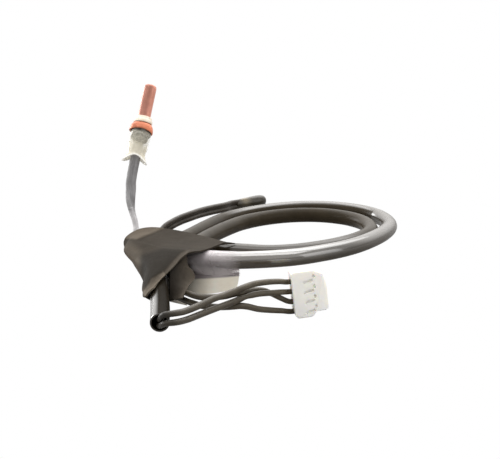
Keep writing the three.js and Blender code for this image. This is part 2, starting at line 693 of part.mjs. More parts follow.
// ================= air sensor =================
// local x points up, local z runs from the tip back to the lead
const beadAxis = vec(-0.7656, -0.6344, 0).normalize();
const bead = addFramedGroup(vec(0, 0, 1), beadAxis, vec(4.73, 34.50, 12.75));

const BEAD_R = BEAD_OD / 2;
const BEAD_CHIP_Z = 2.7;
// radius, distance from the tip, before the bead is flattened
const BEAD_PROFILE = [
  [0, 0], [BEAD_R * 0.55, 0.25], [BEAD_R * 0.88, 0.9], [BEAD_R, 2.0], [BEAD_R, 5.4],
  [BEAD_R * 0.97, 8.6], [BEAD_R * 0.97, BEAD_L], [0, BEAD_L + 0.1],
];
// x, z of the wedge that leaves room for the legs
const LEG_SLOT = [
  [-0.75, 3.6], [0.75, 3.6], [HALF_LEAD + 0.5, 5.6], [-HALF_LEAD - 0.5, 5.6],
];
const LEG_SLOT_T = 0.9;

function addBeadCoating() {
  const chipRoom = block([1.9, 1.3, 2.0], [0, 0, BEAD_CHIP_Z]);
  const legRoom = solid(slab(LEG_SLOT, LEG_SLOT_T).rotateX(Math.PI / 2));
  const bores = wireBores(LEAD_OD / 2 + 0.16, 10, HALF_LEAD, 5.4 + BORE_L / 2);
  let coating = solid(turned(BEAD_PROFILE).scale(1.22, 0.95, 1));
  for (const cutter of [chipRoom, legRoom, ...bores]) coating = coating.subtract(cutter);
  add('bead_coating', geometryOf(coating), materials.bead, bead);
}

function addBeadSensing() {
  addChip('bead', bead, BEAD_CHIP_Z);
  for (const [number, side] of SIDES) {
    addLeg(`bead_leg_${number}`, [
      [side * 0.32, 0, 3.54],
      [side * 0.4, 0, 4.0],
      [side * HALF_LEAD * 0.9, 0, 5.0],
      [side * HALF_LEAD, 0, 5.62],
    ], bead);
  }
}

function addBeadLeads() {
  const intoBead = (x) => [13.6, 11.2, 5.75].map((z) => fromGroup(bead, x, 0, z));
  addWires('bead_lead', [
    [
      [-22.17, 4.20, 12.53], [-20.37, 6.60, 13.02], [-17.63, 9.92, 13.45],
      [-14.86, 13.95, 13.65], [-11.44, 18.47, 13.65], [-7.64, 22.98, 13.55],
      ...intoBead(HALF_LEAD),
    ],
    [
      [-22.02, 4.40, 10.93], [-20.21, 6.80, 11.42], [-17.50, 10.08, 11.84],
      [-14.78, 14.05, 12.03], [-11.39, 18.53, 12.03], [-7.60, 23.02, 11.93],
      ...intoBead(-HALF_LEAD),
    ],
  ], materials.wire, LEAD_OD / 2);
}

// ================= assembly =================
addSheath();
addPairWires();
addAirPair();
addTape();
addLabel();
addHousing();
addTerminals();
addConnectorWires();
addProbeShell();
addPotting();
addProbeSensing();
addFerrules();
addProbeLeads();
addBeadCoating();
addBeadSensing();
addBeadLeads();

root.position.copy(ORIGIN).negate();

export default root;
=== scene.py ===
# A sensor harness lying on a table: a four-way nylon plug, a PVC sheath coiled in two turns, a
# pipe sensor in a copper capsule standing up at the left, an air sensor in an epoxy bead at the
# far side, and tape and a label gathering the strands.
# +X is right, -Y is the front, where the camera stands, and the floor is z = 0.
import math
import bpy
import bmesh
import numpy as np
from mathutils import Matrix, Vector, noise

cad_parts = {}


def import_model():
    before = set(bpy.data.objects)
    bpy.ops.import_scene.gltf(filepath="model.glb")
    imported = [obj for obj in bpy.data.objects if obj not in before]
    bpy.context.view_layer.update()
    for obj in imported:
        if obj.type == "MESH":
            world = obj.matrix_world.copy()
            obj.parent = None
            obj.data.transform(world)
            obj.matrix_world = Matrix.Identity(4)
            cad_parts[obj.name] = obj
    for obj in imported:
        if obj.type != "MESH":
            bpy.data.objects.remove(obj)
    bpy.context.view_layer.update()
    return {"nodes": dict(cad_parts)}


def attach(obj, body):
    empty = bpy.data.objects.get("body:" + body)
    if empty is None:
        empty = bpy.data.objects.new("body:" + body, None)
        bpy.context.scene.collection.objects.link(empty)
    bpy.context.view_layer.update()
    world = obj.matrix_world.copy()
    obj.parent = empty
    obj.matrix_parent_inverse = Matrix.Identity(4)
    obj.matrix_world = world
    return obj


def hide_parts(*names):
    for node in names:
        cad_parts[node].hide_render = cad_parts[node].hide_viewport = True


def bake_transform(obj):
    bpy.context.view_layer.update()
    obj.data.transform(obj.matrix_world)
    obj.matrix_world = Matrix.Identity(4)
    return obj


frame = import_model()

# ---------------------------------------------------------------- units and vectors
# The layout is written in millimetres in the lead's own working frame; ORIGIN is where the
# shared frame sits in it.
ORIGIN = np.array([4.14, -19.68, -0.42])


def world(point):
    """Working millimetres to shared metres."""
    return (np.asarray(point, float) - ORIGIN) / 1000.0


def unit(vectors):
    vectors = np.asarray(vectors, float)
    return vectors / np.linalg.norm(vectors, axis=-1, keepdims=True)


def square_to(vectors, axis):
    """The vectors without their part along the unit axis."""
    return vectors - (vectors * axis).sum(-1, keepdims=True) * axis


def basis(x_axis, z_axis, origin):
    """A local frame as a 4 x 4 matrix, in millimetres."""
    matrix = np.eye(4)
    matrix[:3, :4] = np.stack([x_axis, np.cross(z_axis, x_axis), z_axis, origin], 1)
    return matrix


def place(matrix, x, y, z):
    """Local coordinates to working millimetres."""
    return matrix[:3, :3] @ np.array([x, y, z], float) + matrix[:3, 3]


def local_points(matrix, points):
    """Shared metres to local coordinates."""
    points = np.array(points) * 1000 + ORIGIN
    return (np.linalg.inv(matrix) @ np.c_[points, np.ones(len(points))].T)[:3].T


def noise_at(x, y, z):
    return noise.noise(Vector((x, y, z)))


# ---------------------------------------------------------------- curves and frames
def spline(points, count):
    """Centripetal spline through distinct points, count samples at even parameter steps."""
    points = np.asarray(points, float)
    spans = len(points) - 1
    ends = 2 * points[0] - points[1], 2 * points[-1] - points[-2]
    knots = np.vstack([ends[0], points, ends[1]])
    out = np.empty((count, 3))
    for k in range(count):
        f = spans * k / (count - 1)
        i = min(int(f), spans - 1)
        w = f - i
        p0, p1, p2, p3 = knots[i:i + 4]
        d0, d1, d2 = (np.dot(a, a) ** 0.25 for a in (p0 - p1, p1 - p2, p2 - p3))
        start = ((p1 - p0) / d0 - (p2 - p0) / (d0 + d1) + (p2 - p1) / d1) * d1
        end = ((p2 - p1) / d1 - (p3 - p1) / (d1 + d2) + (p3 - p2) / d2) * d1
        square = -3 * p1 + 3 * p2 - 2 * start - end
        cube = 2 * p1 - 2 * p2 + start + end
        out[k] = p1 + start * w + square * w * w + cube * w ** 3
    return out


def arc_length(line):
    return np.concatenate([[0], np.cumsum(np.linalg.norm(np.diff(line, axis=0), axis=1))])


def resample(line, count):
    """count evenly spaced points of a line, and their distances along it."""
    distance = arc_length(line)
    stations = np.linspace(0, distance[-1], count)
    return np.stack([np.interp(stations, distance, line[:, k]) for k in range(3)], 1), stations


def path(points, step):
    """Spline through points at a spacing of about step, and the distances along it."""
    line = spline(points, max(200, 60 * len(points)))
    return resample(line, max(3, int(round(arc_length(line)[-1] / step)) + 1))


def tangents(line):
    return unit(np.gradient(line, axis=0))


def reflect(vector, axis):
    return vector - 2 * np.dot(axis, vector) / np.dot(axis, axis) * axis


def frames(line):
    """Tangent, normal and binormal carried along a line without twist."""
    tangent = tangents(line)
    normal = np.empty_like(line)
    normal[0] = unit(square_to(np.array([0.0, 0.0, 1.0]), tangent[0]))
    for i in range(1, len(line)):
        step = line[i] - line[i - 1]
        carried = reflect(normal[i - 1], step)
        turn = tangent[i] - reflect(tangent[i - 1], step)
        if np.dot(turn, turn) >= 1e-12:
            carried = reflect(carried, turn)
        normal[i] = unit(square_to(carried, tangent[i]))
    return tangent, normal, np.cross(tangent, normal)


def wobble(line, amount, wave, seed):
    """A slight hand-laid waver along a line, fading out at both ends."""
    _, normal, binormal = frames(line)
    distance = arc_length(line)
    fade = np.clip(np.minimum(distance, distance[-1] - distance) / (wave * 0.6), 0, 1)
    for direction, y, z in ((normal, seed, 0.3), (binormal, seed + 7.7, 1.9)):
        waver = np.array([noise_at(x / wave, y, z) for x in distance]) * amount * fade
        line = line + direction * waver[:, None]
    return line


# ---------------------------------------------------------------- mesh helpers
def mesh_object(name, verts, faces, sharp=None):
    """A smooth mesh from millimetre verts; edges bent more than sharp stay hard."""
    mesh = bpy.data.meshes.new(name)
    mesh.from_pydata([tuple(p) for p in world(verts)], [],
                     [tuple(int(i) for i in face) for face in faces])
    mesh.validate(clean_customdata=False)
    edit = bmesh.new()
    edit.from_mesh(mesh)
    bmesh.ops.recalc_face_normals(edit, faces=edit.faces)
    if sharp is not None:
        for edge in edit.edges:
            if len(edge.link_faces) == 2 and edge.calc_face_angle(0.0) > sharp:
                edge.smooth = False
    edit.to_mesh(mesh)
    edit.free()
    mesh.polygons.foreach_set("use_smooth", [True] * len(mesh.polygons))
    return link(name, mesh)


def link(name, data):
    piece = bpy.data.objects.new(name, data)
    bpy.context.scene.collection.objects.link(piece)
    return piece


def edited_object(name, edit):
    """An object from a bmesh, which is freed."""
    mesh = bpy.data.meshes.new(name)
    edit.to_mesh(mesh)
    edit.free()
    return link(name, mesh)


def rings(line, normal, binormal, sections):
    """A loop of points per station; sections is one outline, or one for each station."""
    return (line[:, None] + sections[..., 0:1] * normal[:, None]
            + sections[..., 1:2] * binormal[:, None])


def skinned(name, loops, closed=False):
    """A piece over equal loops, capped at both ends unless closed; also returns its verts."""
    loops = np.asarray(loops, float)
    count, size = loops.shape[:2]
    verts = list(loops.reshape(-1, 3))
    faces = []
    for i in range(count if closed else count - 1):
        near, far = i * size, (i + 1) % count * size
        for j in range(size):
            k = (j + 1) % size
            faces.append((near + j, near + k, far + k, far + j))
    if not closed:
        for i in (0, count - 1):
            centre = len(verts)
            verts.append(loops[i].mean(0))
            for j in range(size):
                a, b = i * size + j, i * size + (j + 1) % size
                faces.append((centre, b, a) if i == 0 else (centre, a, b))
    verts = np.array(verts)
    return mesh_object(name, verts, faces), verts


def angles(count):
    return np.arange(count) / count * 2 * math.pi


def circle(count):
    """Unit circle."""
    return np.stack([np.cos(angles(count)), np.sin(angles(count))], 1)


def round_wire(name, line, radius, sides, seed):
    """Round wire with softened ends and a slightly uneven radius."""
    _, normal, binormal = frames(line)
    distance = arc_length(line)
    to_end = np.minimum(distance, distance[-1] - distance)
    radius = radius * (0.82 + 0.18 * np.sin(np.clip(to_end / 0.35, 0, 1) * math.pi / 2))
    radius *= np.array([1 + 0.012 * noise_at(x * 0.55, seed, 4.1) for x in distance])
    return skinned(name, rings(line, normal, binormal, circle(sides) * radius[:, None, None]))


def twin_section(pitch, radius, web):
    """Outline of a flat two-core lead: two round lobes and a thin web between them."""
    gap = math.pi - math.asin(web / 2 / radius)
    sweep = np.linspace(-gap, gap, 14)
    return np.array([(side * (pitch / 2 + math.cos(t) * radius), side * math.sin(t) * radius)
                     for side in (1, -1) for t in sweep])


def twin_lead(name, first, second, radius, web, seed):
    """A two-core lead between two guide lines, one per core."""
    step = 0.4
    first, _ = path(first, step)
    second, _ = resample(spline(second, 60 * len(second)), len(first))
    centre = (first + second) / 2
    tangent = tangents(centre)
    normal = square_to(first - second, tangent)
    pitches = np.linalg.norm(normal, axis=1)
    normal = unit(normal)
    # an even turn along the lead
    for _ in range(6):
        normal[1:-1] = normal[:-2] + 2 * normal[1:-1] + normal[2:]
        normal = unit(square_to(normal, tangent))
    sections = np.stack([
        twin_section(max(2 * radius * 0.97, pitch),
                     radius * (1 + 0.012 * noise_at(k * step * 0.5, seed, 0)), web)
        for k, pitch in enumerate(pitches)])
    loops = rings(centre, normal, np.cross(tangent, normal), sections)
    piece, verts = skinned(name, loops)
    # painted highlight: paler close above the tape
    paint(piece, "tone", np.interp(verts[:, 2], [15.0, 17.0, 21.0], [2.6, 2.2, 1.0]))
    return piece


def round_shape(angle, radius, z):
    return radius * math.cos(angle), radius * math.sin(angle), z


def lathe(name, profile, matrix, count, closed=False, shape=round_shape):
    """Turns [radius, z] points about local z; shape places each point."""
    verts, faces, index = [], [], []
    for radius, z in profile:
        if radius < 1e-6 and not closed:
            index.append([len(verts)] * count)
            verts.append(shape(0.0, 0.0, z))
        else:
            index.append(list(range(len(verts), len(verts) + count)))
            verts += [shape(t, radius, z) for t in angles(count)]
    rows = len(profile)
    for i in range(rows if closed else rows - 1):
        low, high = index[i], index[(i + 1) % rows]
        for j in range(count):
            k = (j + 1) % count
            face = list(dict.fromkeys([low[j], low[k], high[k], high[j]]))
            if len(face) >= 3:
                faces.append(face)
    return mesh_object(name, np.array(verts) @ matrix[:3, :3].T + matrix[:3, 3], faces)


def rounded(profile, radius, steps):
    """Softens the corners of an open [radius, z] profile."""
    points = [np.array(p, float) for p in profile]
    out = [points[0]]
    for before, corner, after in zip(points, points[1:], points[2:]):
        length_in, length_out = np.linalg.norm(before - corner), np.linalg.norm(after - corner)
        if length_in < 1e-6 or length_out < 1e-6:
            out.append(corner)
            continue
        reach = min(radius, length_in * 0.45, length_out * 0.45)
        start = corner + (before - corner) / length_in * reach
        end = corner + (after - corner) / length_out * reach
        for k in range(steps + 1):
            t = k / steps
            out.append((1 - t) ** 2 * start + 2 * t * (1 - t) * corner + t * t * end)
    out.append(points[-1])
    return np.array(out)


def bake(piece):
    """Applies the modifiers of a piece."""
    graph = bpy.context.evaluated_depsgraph_get()
    mesh = bpy.data.meshes.new_from_object(piece.evaluated_get(graph))
    piece.modifiers.clear()
    piece.data = mesh


def paint(piece, name, values):
    layer = piece.data.attributes.new(name, "FLOAT", "POINT")
    layer.data.foreach_set("value", np.asarray(values).reshape(-1).astype(np.float32))


def finish(piece, look, body, slot, *replaces):
    piece.data.materials.clear()
    piece.data.materials.append(LOOKS[look])
    if body:
        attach(piece, body)
    if replaces:
        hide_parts(*replaces)


# ---------------------------------------------------------------- shader nodes
class Nodes:
    """Builds the node tree of a material or world."""

    def __init__(self, owner):
        owner.use_nodes = True
        self.tree = owner.node_tree
        self.tree.nodes.clear()

    def node(self, kind, **settings):
        node = self.tree.nodes.new(kind)
        for key, value in settings.items():
            setattr(node, key, value)
        return node

    def feed(self, socket, value):
        """Links an output to an input, or sets the input's value."""
        if isinstance(value, bpy.types.NodeSocket):
            self.tree.links.new(value, socket)
        else:
            socket.default_value = (*value, 1.0) if socket.type == "RGBA" else value

    def range(self, value, low, high, start=0.0, end=1.0, **settings):
        """Maps start..end to low..high."""
        node = self.node("ShaderNodeMapRange", **settings)
        for key, number in (("From Min", start), ("From Max", end),
                            ("To Min", low), ("To Max", high), ("Value", value)):
            self.feed(node.inputs[key], number)
        return node.outputs[0]

    def math(self, operation, first, second):
        node = self.node("ShaderNodeMath", operation=operation)
        self.feed(node.inputs[0], first)
        self.feed(node.inputs[1], second)
        return node.outputs[0]


INPUTS = {"color": "Base Color", "rough": "Roughness", "metal": "Metallic",
          "coat": "Coat Weight", "coat_rough": "Coat Roughness", "coat_ior": "Coat IOR",
          "sss": "Subsurface Weight", "sss_radius": "Subsurface Radius",
          "sss_scale": "Subsurface Scale", "alpha": "Alpha", "spec": "Specular IOR Level"}


class Material(Nodes):
    """A principled material in object coordinates."""

    def __init__(self, name):
        self.material = bpy.data.materials.new(name)
        super().__init__(self.material)
        self.out = self.node("ShaderNodeOutputMaterial")
        self.coordinates = self.node("ShaderNodeTexCoord")
        self.shader = self.node("ShaderNodeBsdfPrincipled")
        self.feed(self.out.inputs[0], self.shader.outputs[0])

    def noise(self, scale, detail=4.0, rough=0.55, rotation=(0, 0, 0), distortion=0.0):
        node = self.node("ShaderNodeTexNoise")
        for key, value in (("Scale", 1.0), ("Detail", detail), ("Roughness", rough),
                           ("Distortion", distortion)):
            node.inputs[key].default_value = value
        mapping = self.node("ShaderNodeMapping")
        mapping.inputs["Scale"].default_value = scale if isinstance(scale, tuple) else (scale,) * 3
        mapping.inputs["Rotation"].default_value = rotation
        self.feed(mapping.inputs["Vector"], self.coordinates.outputs["Object"])
        self.feed(node.inputs["Vector"], mapping.outputs[0])
        return node.outputs["Fac"]

    def ramp(self, value, *stops):
        """Stops are (position, linear colour)."""
        node = self.node("ShaderNodeValToRGB")
        elements = node.color_ramp.elements
        while len(elements) < len(stops):
            elements.new(0.5)
        for k, (position, color) in enumerate(stops):
            elements[k].position = position
            elements[k].color = (*color, 1.0)
        self.feed(node.inputs[0], value)
        return node.outputs[0]

    def tones(self, value, dark, light, end=0.7):
        """Ramp from dark at 0.3 to light at end, both as 8-bit colours."""
        return self.ramp(value, (0.3, linear(*dark)), (end, linear(*light)))

    def spread(self, value, low, high):
        """The middle span of a noise stretched over low..high."""
        return self.range(value, low, high, start=0.3, end=0.7)

    def mix(self, factor, first, second, blend="MIX"):
        node = self.node("ShaderNodeMix", data_type="RGBA", blend_type=blend)
        for k, value in ((0, factor), (6, first), (7, second)):
            self.feed(node.inputs[k], value)
        return node.outputs[2]

    def bump(self, height, strength, distance):
        node = self.node("ShaderNodeBump")
        node.inputs["Strength"].default_value = strength
        node.inputs["Distance"].default_value = distance
        self.feed(node.inputs["Height"], height)
        self.feed(self.shader.inputs["Normal"], node.outputs[0])

    def painted(self, name):
        """A value painted on the mesh."""
        return self.node("ShaderNodeAttribute", attribute_name=name).outputs["Fac"]

    def toned(self, color):
        """The colour multiplied by the painted tone, which carries painted light and shade."""
        tone = self.painted("tone")
        combine = self.node("ShaderNodeCombineColor")
        for k in range(3):
            self.feed(combine.inputs[k], tone)
        return self.mix(1.0, color, combine.outputs[0], "MULTIPLY")

    def set(self, **values):
        for key, value in values.items():
            self.feed(self.shader.inputs[INPUTS[key]], value)


def linear(*color):
    """8-bit sRGB to linear."""
    return tuple(c / 255 / 12.92 if c / 255 <= 0.04045 else ((c / 255 + 0.055) / 1.055) ** 2.4
                 for c in color)


# ---------------------------------------------------------------- materials
def soft_plastic(name, dark, light, rough, scale, bump, spec=0.5, toned=False):
    m = Material(name)
    big = m.noise(scale=scale)
    fine = m.noise(scale=scale * 9, detail=3)
    color = m.tones(big, dark, light, end=0.72)
    m.set(color=m.toned(color) if toned else color, rough=m.spread(fine, *rough), spec=spec)
    m.bump(m.math("ADD", big, m.math("MULTIPLY", fine, 0.3)), strength=bump, distance=0.00012)
    return m.material


def sheath_material():
    """Extruded PVC: satin, with a glossier skin where shine is painted."""
    m = Material("sheath_pvc_finish")
    big = m.noise(scale=130.0)
    fine = m.noise(scale=1500.0, detail=3)
    shine = m.painted("shine")
    tone = m.painted("tone")
    # the specular level drops where the painted shade darkens the tone
    m.set(color=m.toned(m.tones(big, dark=(42, 36, 26), light=(54, 47, 36), end=0.72)),
          rough=m.spread(fine, low=0.3, high=0.38),
          spec=m.math("ADD", m.math("MULTIPLY", shine, 0.23),
                      m.range(tone, low=0.01, high=0.07, start=0.96, end=1.0)),
          coat=shine, coat_rough=0.13, coat_ior=2.7)
    m.bump(m.math("ADD", big, m.math("MULTIPLY", fine, 0.15)), strength=0.02, distance=0.00012)
    return m.material


def tape_material():
    m = Material("pvc_tape_finish")
    big = m.noise(scale=120.0, detail=5, rough=0.6)
    fine = m.noise(scale=2200.0, rough=0.6)
    stretch = m.noise(scale=(260.0, 900.0, 260.0), rough=0.5, rotation=(0.2, 0.1, 0.7))
    mixed = m.math("ADD", m.math("MULTIPLY", big, 0.6), m.math("MULTIPLY", stretch, 0.4))
    color = m.ramp(mixed, (0.3, linear(47, 43, 37)), (0.52, linear(54, 49, 43)),
                   (0.74, linear(60, 56, 49)))
    m.set(color=m.toned(color), rough=m.spread(fine, low=0.56, high=0.68), spec=0.02)
    m.bump(m.math("ADD", m.math("MULTIPLY", stretch, 0.5), m.math("MULTIPLY", fine, 0.2)),
           strength=0.16, distance=0.00012)
    return m.material


LABEL_SCATTER = (0.0006, 0.0005, 0.0004)


def label_material():
    """Cream film with a glossy clear overlap along its top."""
    m = Material("label_film_finish")
    cloud = m.noise(scale=260.0)
    fibre = m.noise(scale=(2600.0, 900.0, 2600.0), detail=3)
    overlap = m.painted("overlap")
    cream = m.tones(cloud, dark=(234, 226, 209), light=(247, 242, 229))
    m.set(color=m.toned(m.mix(overlap, cream, linear(150, 141, 142))),
          rough=m.range(overlap, low=0.5, high=0.16), sss=0.05,
          coat=m.math("MULTIPLY", overlap, 0.6), coat_rough=0.12, sss_radius=LABEL_SCATTER)
    m.bump(fibre, strength=0.12, distance=0.00006)
    return m.material


def label_back_material():
    m = Material("label_back_finish")
    cloud = m.noise(scale=260.0)
    fibre = m.noise(scale=(2600.0, 900.0, 2600.0), detail=3)
    m.set(color=m.tones(cloud, dark=(120, 114, 104), light=(206, 200, 188)),
          rough=m.spread(fibre, low=0.4, high=0.55), sss=0.05, sss_radius=LABEL_SCATTER)
    m.bump(fibre, strength=0.12, distance=0.00006)
    return m.material


def film_material():
    """Clear film whose opacity is painted as veil."""
    m = Material("clear_label_film")
    cloud = m.noise(scale=300.0, detail=3)
    veil = m.painted("veil")
    m.set(color=m.tones(cloud, dark=(206, 198, 201), light=(226, 219, 221)),
          rough=m.spread(cloud, low=0.2, high=0.32), alpha=veil, spec=0.8)
    m.bump(cloud, strength=0.12, distance=0.0001)
    return m.material


def nylon_material():
    m = Material("nylon_finish")
    cloud = m.noise(scale=220.0)
    fine = m.noise(scale=2600.0, detail=3)
    m.set(color=m.tones(cloud, dark=(246, 244, 237), light=(251, 250, 245)),
          rough=m.spread(fine, low=0.34, high=0.46),
          sss=0.5, sss_radius=(0.0012, 0.0010, 0.0007), sss_scale=0.7)
    m.bump(fine, strength=0.06, distance=0.00005)
    return m.material


def metal_material(name, dark, light, rough, stretch, bump):
    m = Material(name)
    cloud = m.noise(scale=260.0, detail=5, rough=0.6)
    fine = m.noise(scale=stretch)
    m.set(color=m.ramp(cloud, (0.28, linear(*dark)), (0.72, linear(*light))),
          metal=1.0, rough=m.spread(fine, *rough))
    m.bump(fine, strength=bump, distance=0.00005)
    return m.material


def copper_material(name, dark, light):
    m = Material(name)
    cloud = m.noise(scale=240.0, detail=5, rough=0.62)
    fine = m.noise(scale=(2200.0, 2200.0, 500.0))
    light = linear(*light)
    color = m.ramp(cloud, (0.28, linear(*dark)), (0.55, light),
                   (0.8, tuple(min(1, c * 1.15) for c in light)))
    m.set(color=m.toned(color), metal=0.55, rough=m.spread(fine, low=0.34, high=0.5))
    m.bump(fine, strength=0.08, distance=0.00006)
    return m.material


def potting_material():
    m = Material("sealing_compound_finish")
    swirl = m.noise(scale=560.0, detail=5, rough=0.6, distortion=1.2)
    fine = m.noise(scale=3200.0)
    m.set(color=m.ramp(swirl, (0.32, linear(104, 105, 97)), (0.5, linear(126, 125, 116)),
                       (0.6, linear(150, 147, 138)), (0.74, linear(208, 202, 194))),
          rough=m.spread(fine, low=0.2, high=0.42), spec=0.6)
    m.bump(swirl, strength=0.5, distance=0.0002)
    return m.material


def sleeve_material():
    """Clear sleeve, cloudier where milk is painted."""
    m = Material("clear_sleeve_finish")
    cloud = m.noise(scale=420.0, rough=0.6)
    fine = m.noise(scale=2400.0, detail=3)
    milk = m.painted("milk")
    veil = m.math("ADD", milk, m.spread(cloud, low=-0.05, high=0.05))
    cream = m.tones(cloud, dark=(222, 215, 194), light=(238, 232, 214))
    m.set(color=m.mix(m.range(milk, low=0.6, high=0.9, start=0.0, end=1.0)
                      if False else m.range(milk, low=0.0, high=1.0, start=0.6, end=0.9),
                      cream, linear(253, 252, 246)),
          rough=m.spread(fine, low=0.14, high=0.26), alpha=veil, spec=0.7)
    m.bump(cloud, strength=0.25, distance=0.00015)
    return m.material


LOOKS = {
    "sheath": sheath_material(),
    "wire": soft_plastic("dark_wire_finish", dark=(55, 49, 38), light=(70, 63, 50),
                         rough=(0.4, 0.48), scale=500.0, bump=0.03, spec=0.35, toned=True),
    "core": soft_plastic("inner_wire_finish", dark=(52, 46, 36), light=(66, 59, 48),
                         rough=(0.4, 0.48), scale=500.0, bump=0.03, spec=0.35),
    "bead_lead": soft_plastic("twin_lead_dark_finish", dark=(40, 35, 26), light=(54, 46, 37),
                              rough=(0.34, 0.44), scale=400.0, bump=0.03, spec=0.35),
    "grey": soft_plastic("grey_wire_finish", dark=(124, 123, 124), light=(146, 145, 146),
                         rough=(0.35, 0.45), scale=500.0, bump=0.04, toned=True),
    "splice": soft_plastic("splice_finish", dark=(34, 46, 70), light=(52, 66, 96),
                           rough=(0.35, 0.45), scale=600.0, bump=0.04),
    "tape": tape_material(),
    "label": label_material(),
    "label_back": label_back_material(),
    "film": film_material(),
    "nylon": nylon_material(),
    "tin": metal_material("tinned_metal_finish", dark=(176, 178, 178), light=(214, 216, 216),
                          rough=(0.22, 0.36), stretch=900.0, bump=0.08),
    "strand": metal_material("copper_strand_finish", dark=(186, 110, 74), light=(222, 150, 108),
                             rough=(0.3, 0.42), stretch=(3200.0, 600.0, 3200.0), bump=0.3),
    "copper": copper_material("copper_capsule_finish", dark=(142, 94, 78), light=(164, 112, 97)),
    "bell": copper_material("copper_bell_finish", dark=(150, 84, 56), light=(166, 98, 70)),
    "ring": soft_plastic("ring_plastic_finish", dark=(226, 212, 192), light=(240, 228, 210),
                         rough=(0.35, 0.5), scale=500.0, bump=0.04),
    "potting": potting_material(),
    "sleeve": sleeve_material(),
    "epoxy": soft_plastic("black_epoxy_finish", dark=(40, 36, 28), light=(56, 51, 42),
                          rough=(0.26, 0.38), scale=300.0, bump=0.06, spec=0.45, toned=True),
    "chip": soft_plastic("thermistor_chip_finish", dark=(62, 56, 52), light=(86, 78, 72),
                         rough=(0.45, 0.6), scale=900.0, bump=0.06),
}

# ---------------------------------------------------------------- layout, in millimetres
SHEATH_OD, SHEATH_ID = 4.4, 3.5
WIRE_RADIUS, AIR_LEAD_RADIUS = 1.3 / 2, 1.45 / 2
HALF_PITCH, AIR_HALF_PITCH = 1.44 / 2, 1.62 / 2     # core centre from the middle of its lead
IN_SHEATH = 9.0                  # how far the plug's wires are drawn into the sheath
PIN_PITCH = 2.5
PINS = [PIN_PITCH * (1.5 - k) for k in range(4)]

# Guide points x, y, z of each centre line.
SHEATH_PATH = (
    (-19.8, -70.6, 5.6), (-20.3, -63, 6.3), (-21.2, -54.5, 7.4), (-22.4, -45, 8.6),
    (-22.9, -36, 9.6), (-22.2, -26, 10.3), (-19.4, -15.5, 10.7), (-15.6, -5.5, 10.8),
    (-12.4, 3, 10.8), (-8.2, 12.6, 10.8), (-1.6, 21.2, 10.8), (6.5, 27.8, 10.8),
    (15.7, 31.6, 10.8), (24.6, 31.2, 10.8), (32.6, 26.8, 10.8), (37.6, 20.4, 10.8),
    (40.0, 12.6, 10.8), (40.2, 4.6, 10.8), (36.9, -5.3, 10.8), (30.0, -16.8, 10.8),
    (24.0, -23.35, 10.8), (18.3, -27.75, 10.8), (12.8, -31.3, 10.8), (7.4, -33.4, 10.8),
    (1.6, -34.7, 10.8), (-4.2, -35.2, 10.8), (-9.5, -34.4, 10.8), (-13.9, -31.2, 10.6),
    (-16.0, -25.6, 10.3), (-15.6, -18.6, 10.1), (-13.4, -10.6, 10.0), (-10.6, -3.2, 10.0),
    (-7.4, 4.0, 10.0), (-2.2, 13.2, 10.0), (4.8, 20.0, 10.0), (13.4, 24.2, 10.0),
    (21.4, 24.4, 10.0), (28.2, 20.9, 10.0), (32.8, 14.6, 10.05), (34.6, 7.0, 10.1),
    (33.8, -1.5, 10.2), (30.0, -9.6, 10.3), (24.2, -16.4, 10.3), (17.8, -21.4, 10.3),
    (10.8, -24.9, 10.3), (4.4, -25.9, 10.3), (-2.0, -24.4, 10.3), (-9.0, -22.3, 10.3),
)
# The four wires, top pin first: from beside the plug towards it ...
PLUG_RUNS = (
    ((-2.4, -56.3, 9.17), (0.7, -53, 9.48), (3.31, -51, 9.39), (6.94, -48.4, 8.9)),
    ((-2.41, -56.3, 6.78), (-0.94, -54.7, 6.94), (1.89, -52.2, 6.91), (4.52, -50.3, 6.58),
     (7.19, -48.4, 6.21)),
    ((-2.42, -55, 7.9), (0.71, -51, 7.42), (3.35, -49, 6.78), (5.29, -48, 5.7),
     (7.48, -47.3, 4.35)),
    ((-2.41, -56, 5.09), (-0.7, -54.8, 4.54), (1.89, -52.6, 3.24), (4.78, -50.2, 2.26),
     (7.47, -48.3, 1.53)),
)
# ... and away from it: two to the mouth of the sheath, two to the splices.
BRANCH_RUNS = (
    ((-3.39, -56.9, 8.88), (-5.74, -59, 8.57), (-7.93, -62, 8.66), (-11.15, -66, 8.15),
     (-14.26, -70, 8.02), (-16.67, -73, 8.42), (-18.59, -73.4, 8.23)),
    ((-3.4, -56.9, 6.52), (-4.39, -58, 6.44), (-7.94, -62.3, 6.34), (-11.15, -66.6, 6.24),
     (-14.03, -70.6, 6.24), (-16.25, -73.2, 6.49), (-18.17, -73.6, 6.39)),
    ((-3.41, -55.3, 7.89), (-5.82, -55.6, 7.35), (-8.64, -55, 6.86), (-11.78, -53, 6.35),
     (-14.81, -49.5, 6.18), (-16.7, -43, 5.4), (-18.3, -36, 5.1), (-19.8, -31.2, 4.9),
     (-20.15, -29, 4.9), (-20.65, -25.6, 4.9)),
    ((-3.41, -56.3, 5.09), (-7.01, -55.4, 4.67), (-11.08, -53.2, 4.21), (-13.82, -50.6, 4.17),
     (-15.89, -47.8, 4.14), (-19.8, -41.4, 4.2), (-21.8, -35.4, 4.6), (-22.9, -30.4, 4.85),
     (-23.2, -28.4, 4.9), (-23.5, -26.2, 4.9)),
)
# The pipe sensor's pair from the far mouth of the sheath, under the tape.
PIPE_RUNS = (
    ((-10.6, -21.9, 10.3), (-12.0, -21.3, 8.3), (-13.6, -20.9, 7.1), (-16.0, -20.5, 6.9),
     (-19.0, -20.0, 7.15), (-24.0, -19.2, 7.3), (-28.4, -18.4, 8.6), (-30.5, -17.6, 11.0)),
    ((-10.4, -22.6, 8.9), (-11.6, -22.9, 7.6), (-13.6, -23.1, 6.9), (-16.0, -22.8, 6.85),
     (-19.0, -22.2, 7.1), (-22.6, -21.4, 7.4), (-25.2, -20.4, 9.0), (-27.3, -18.8, 11.0)),
)
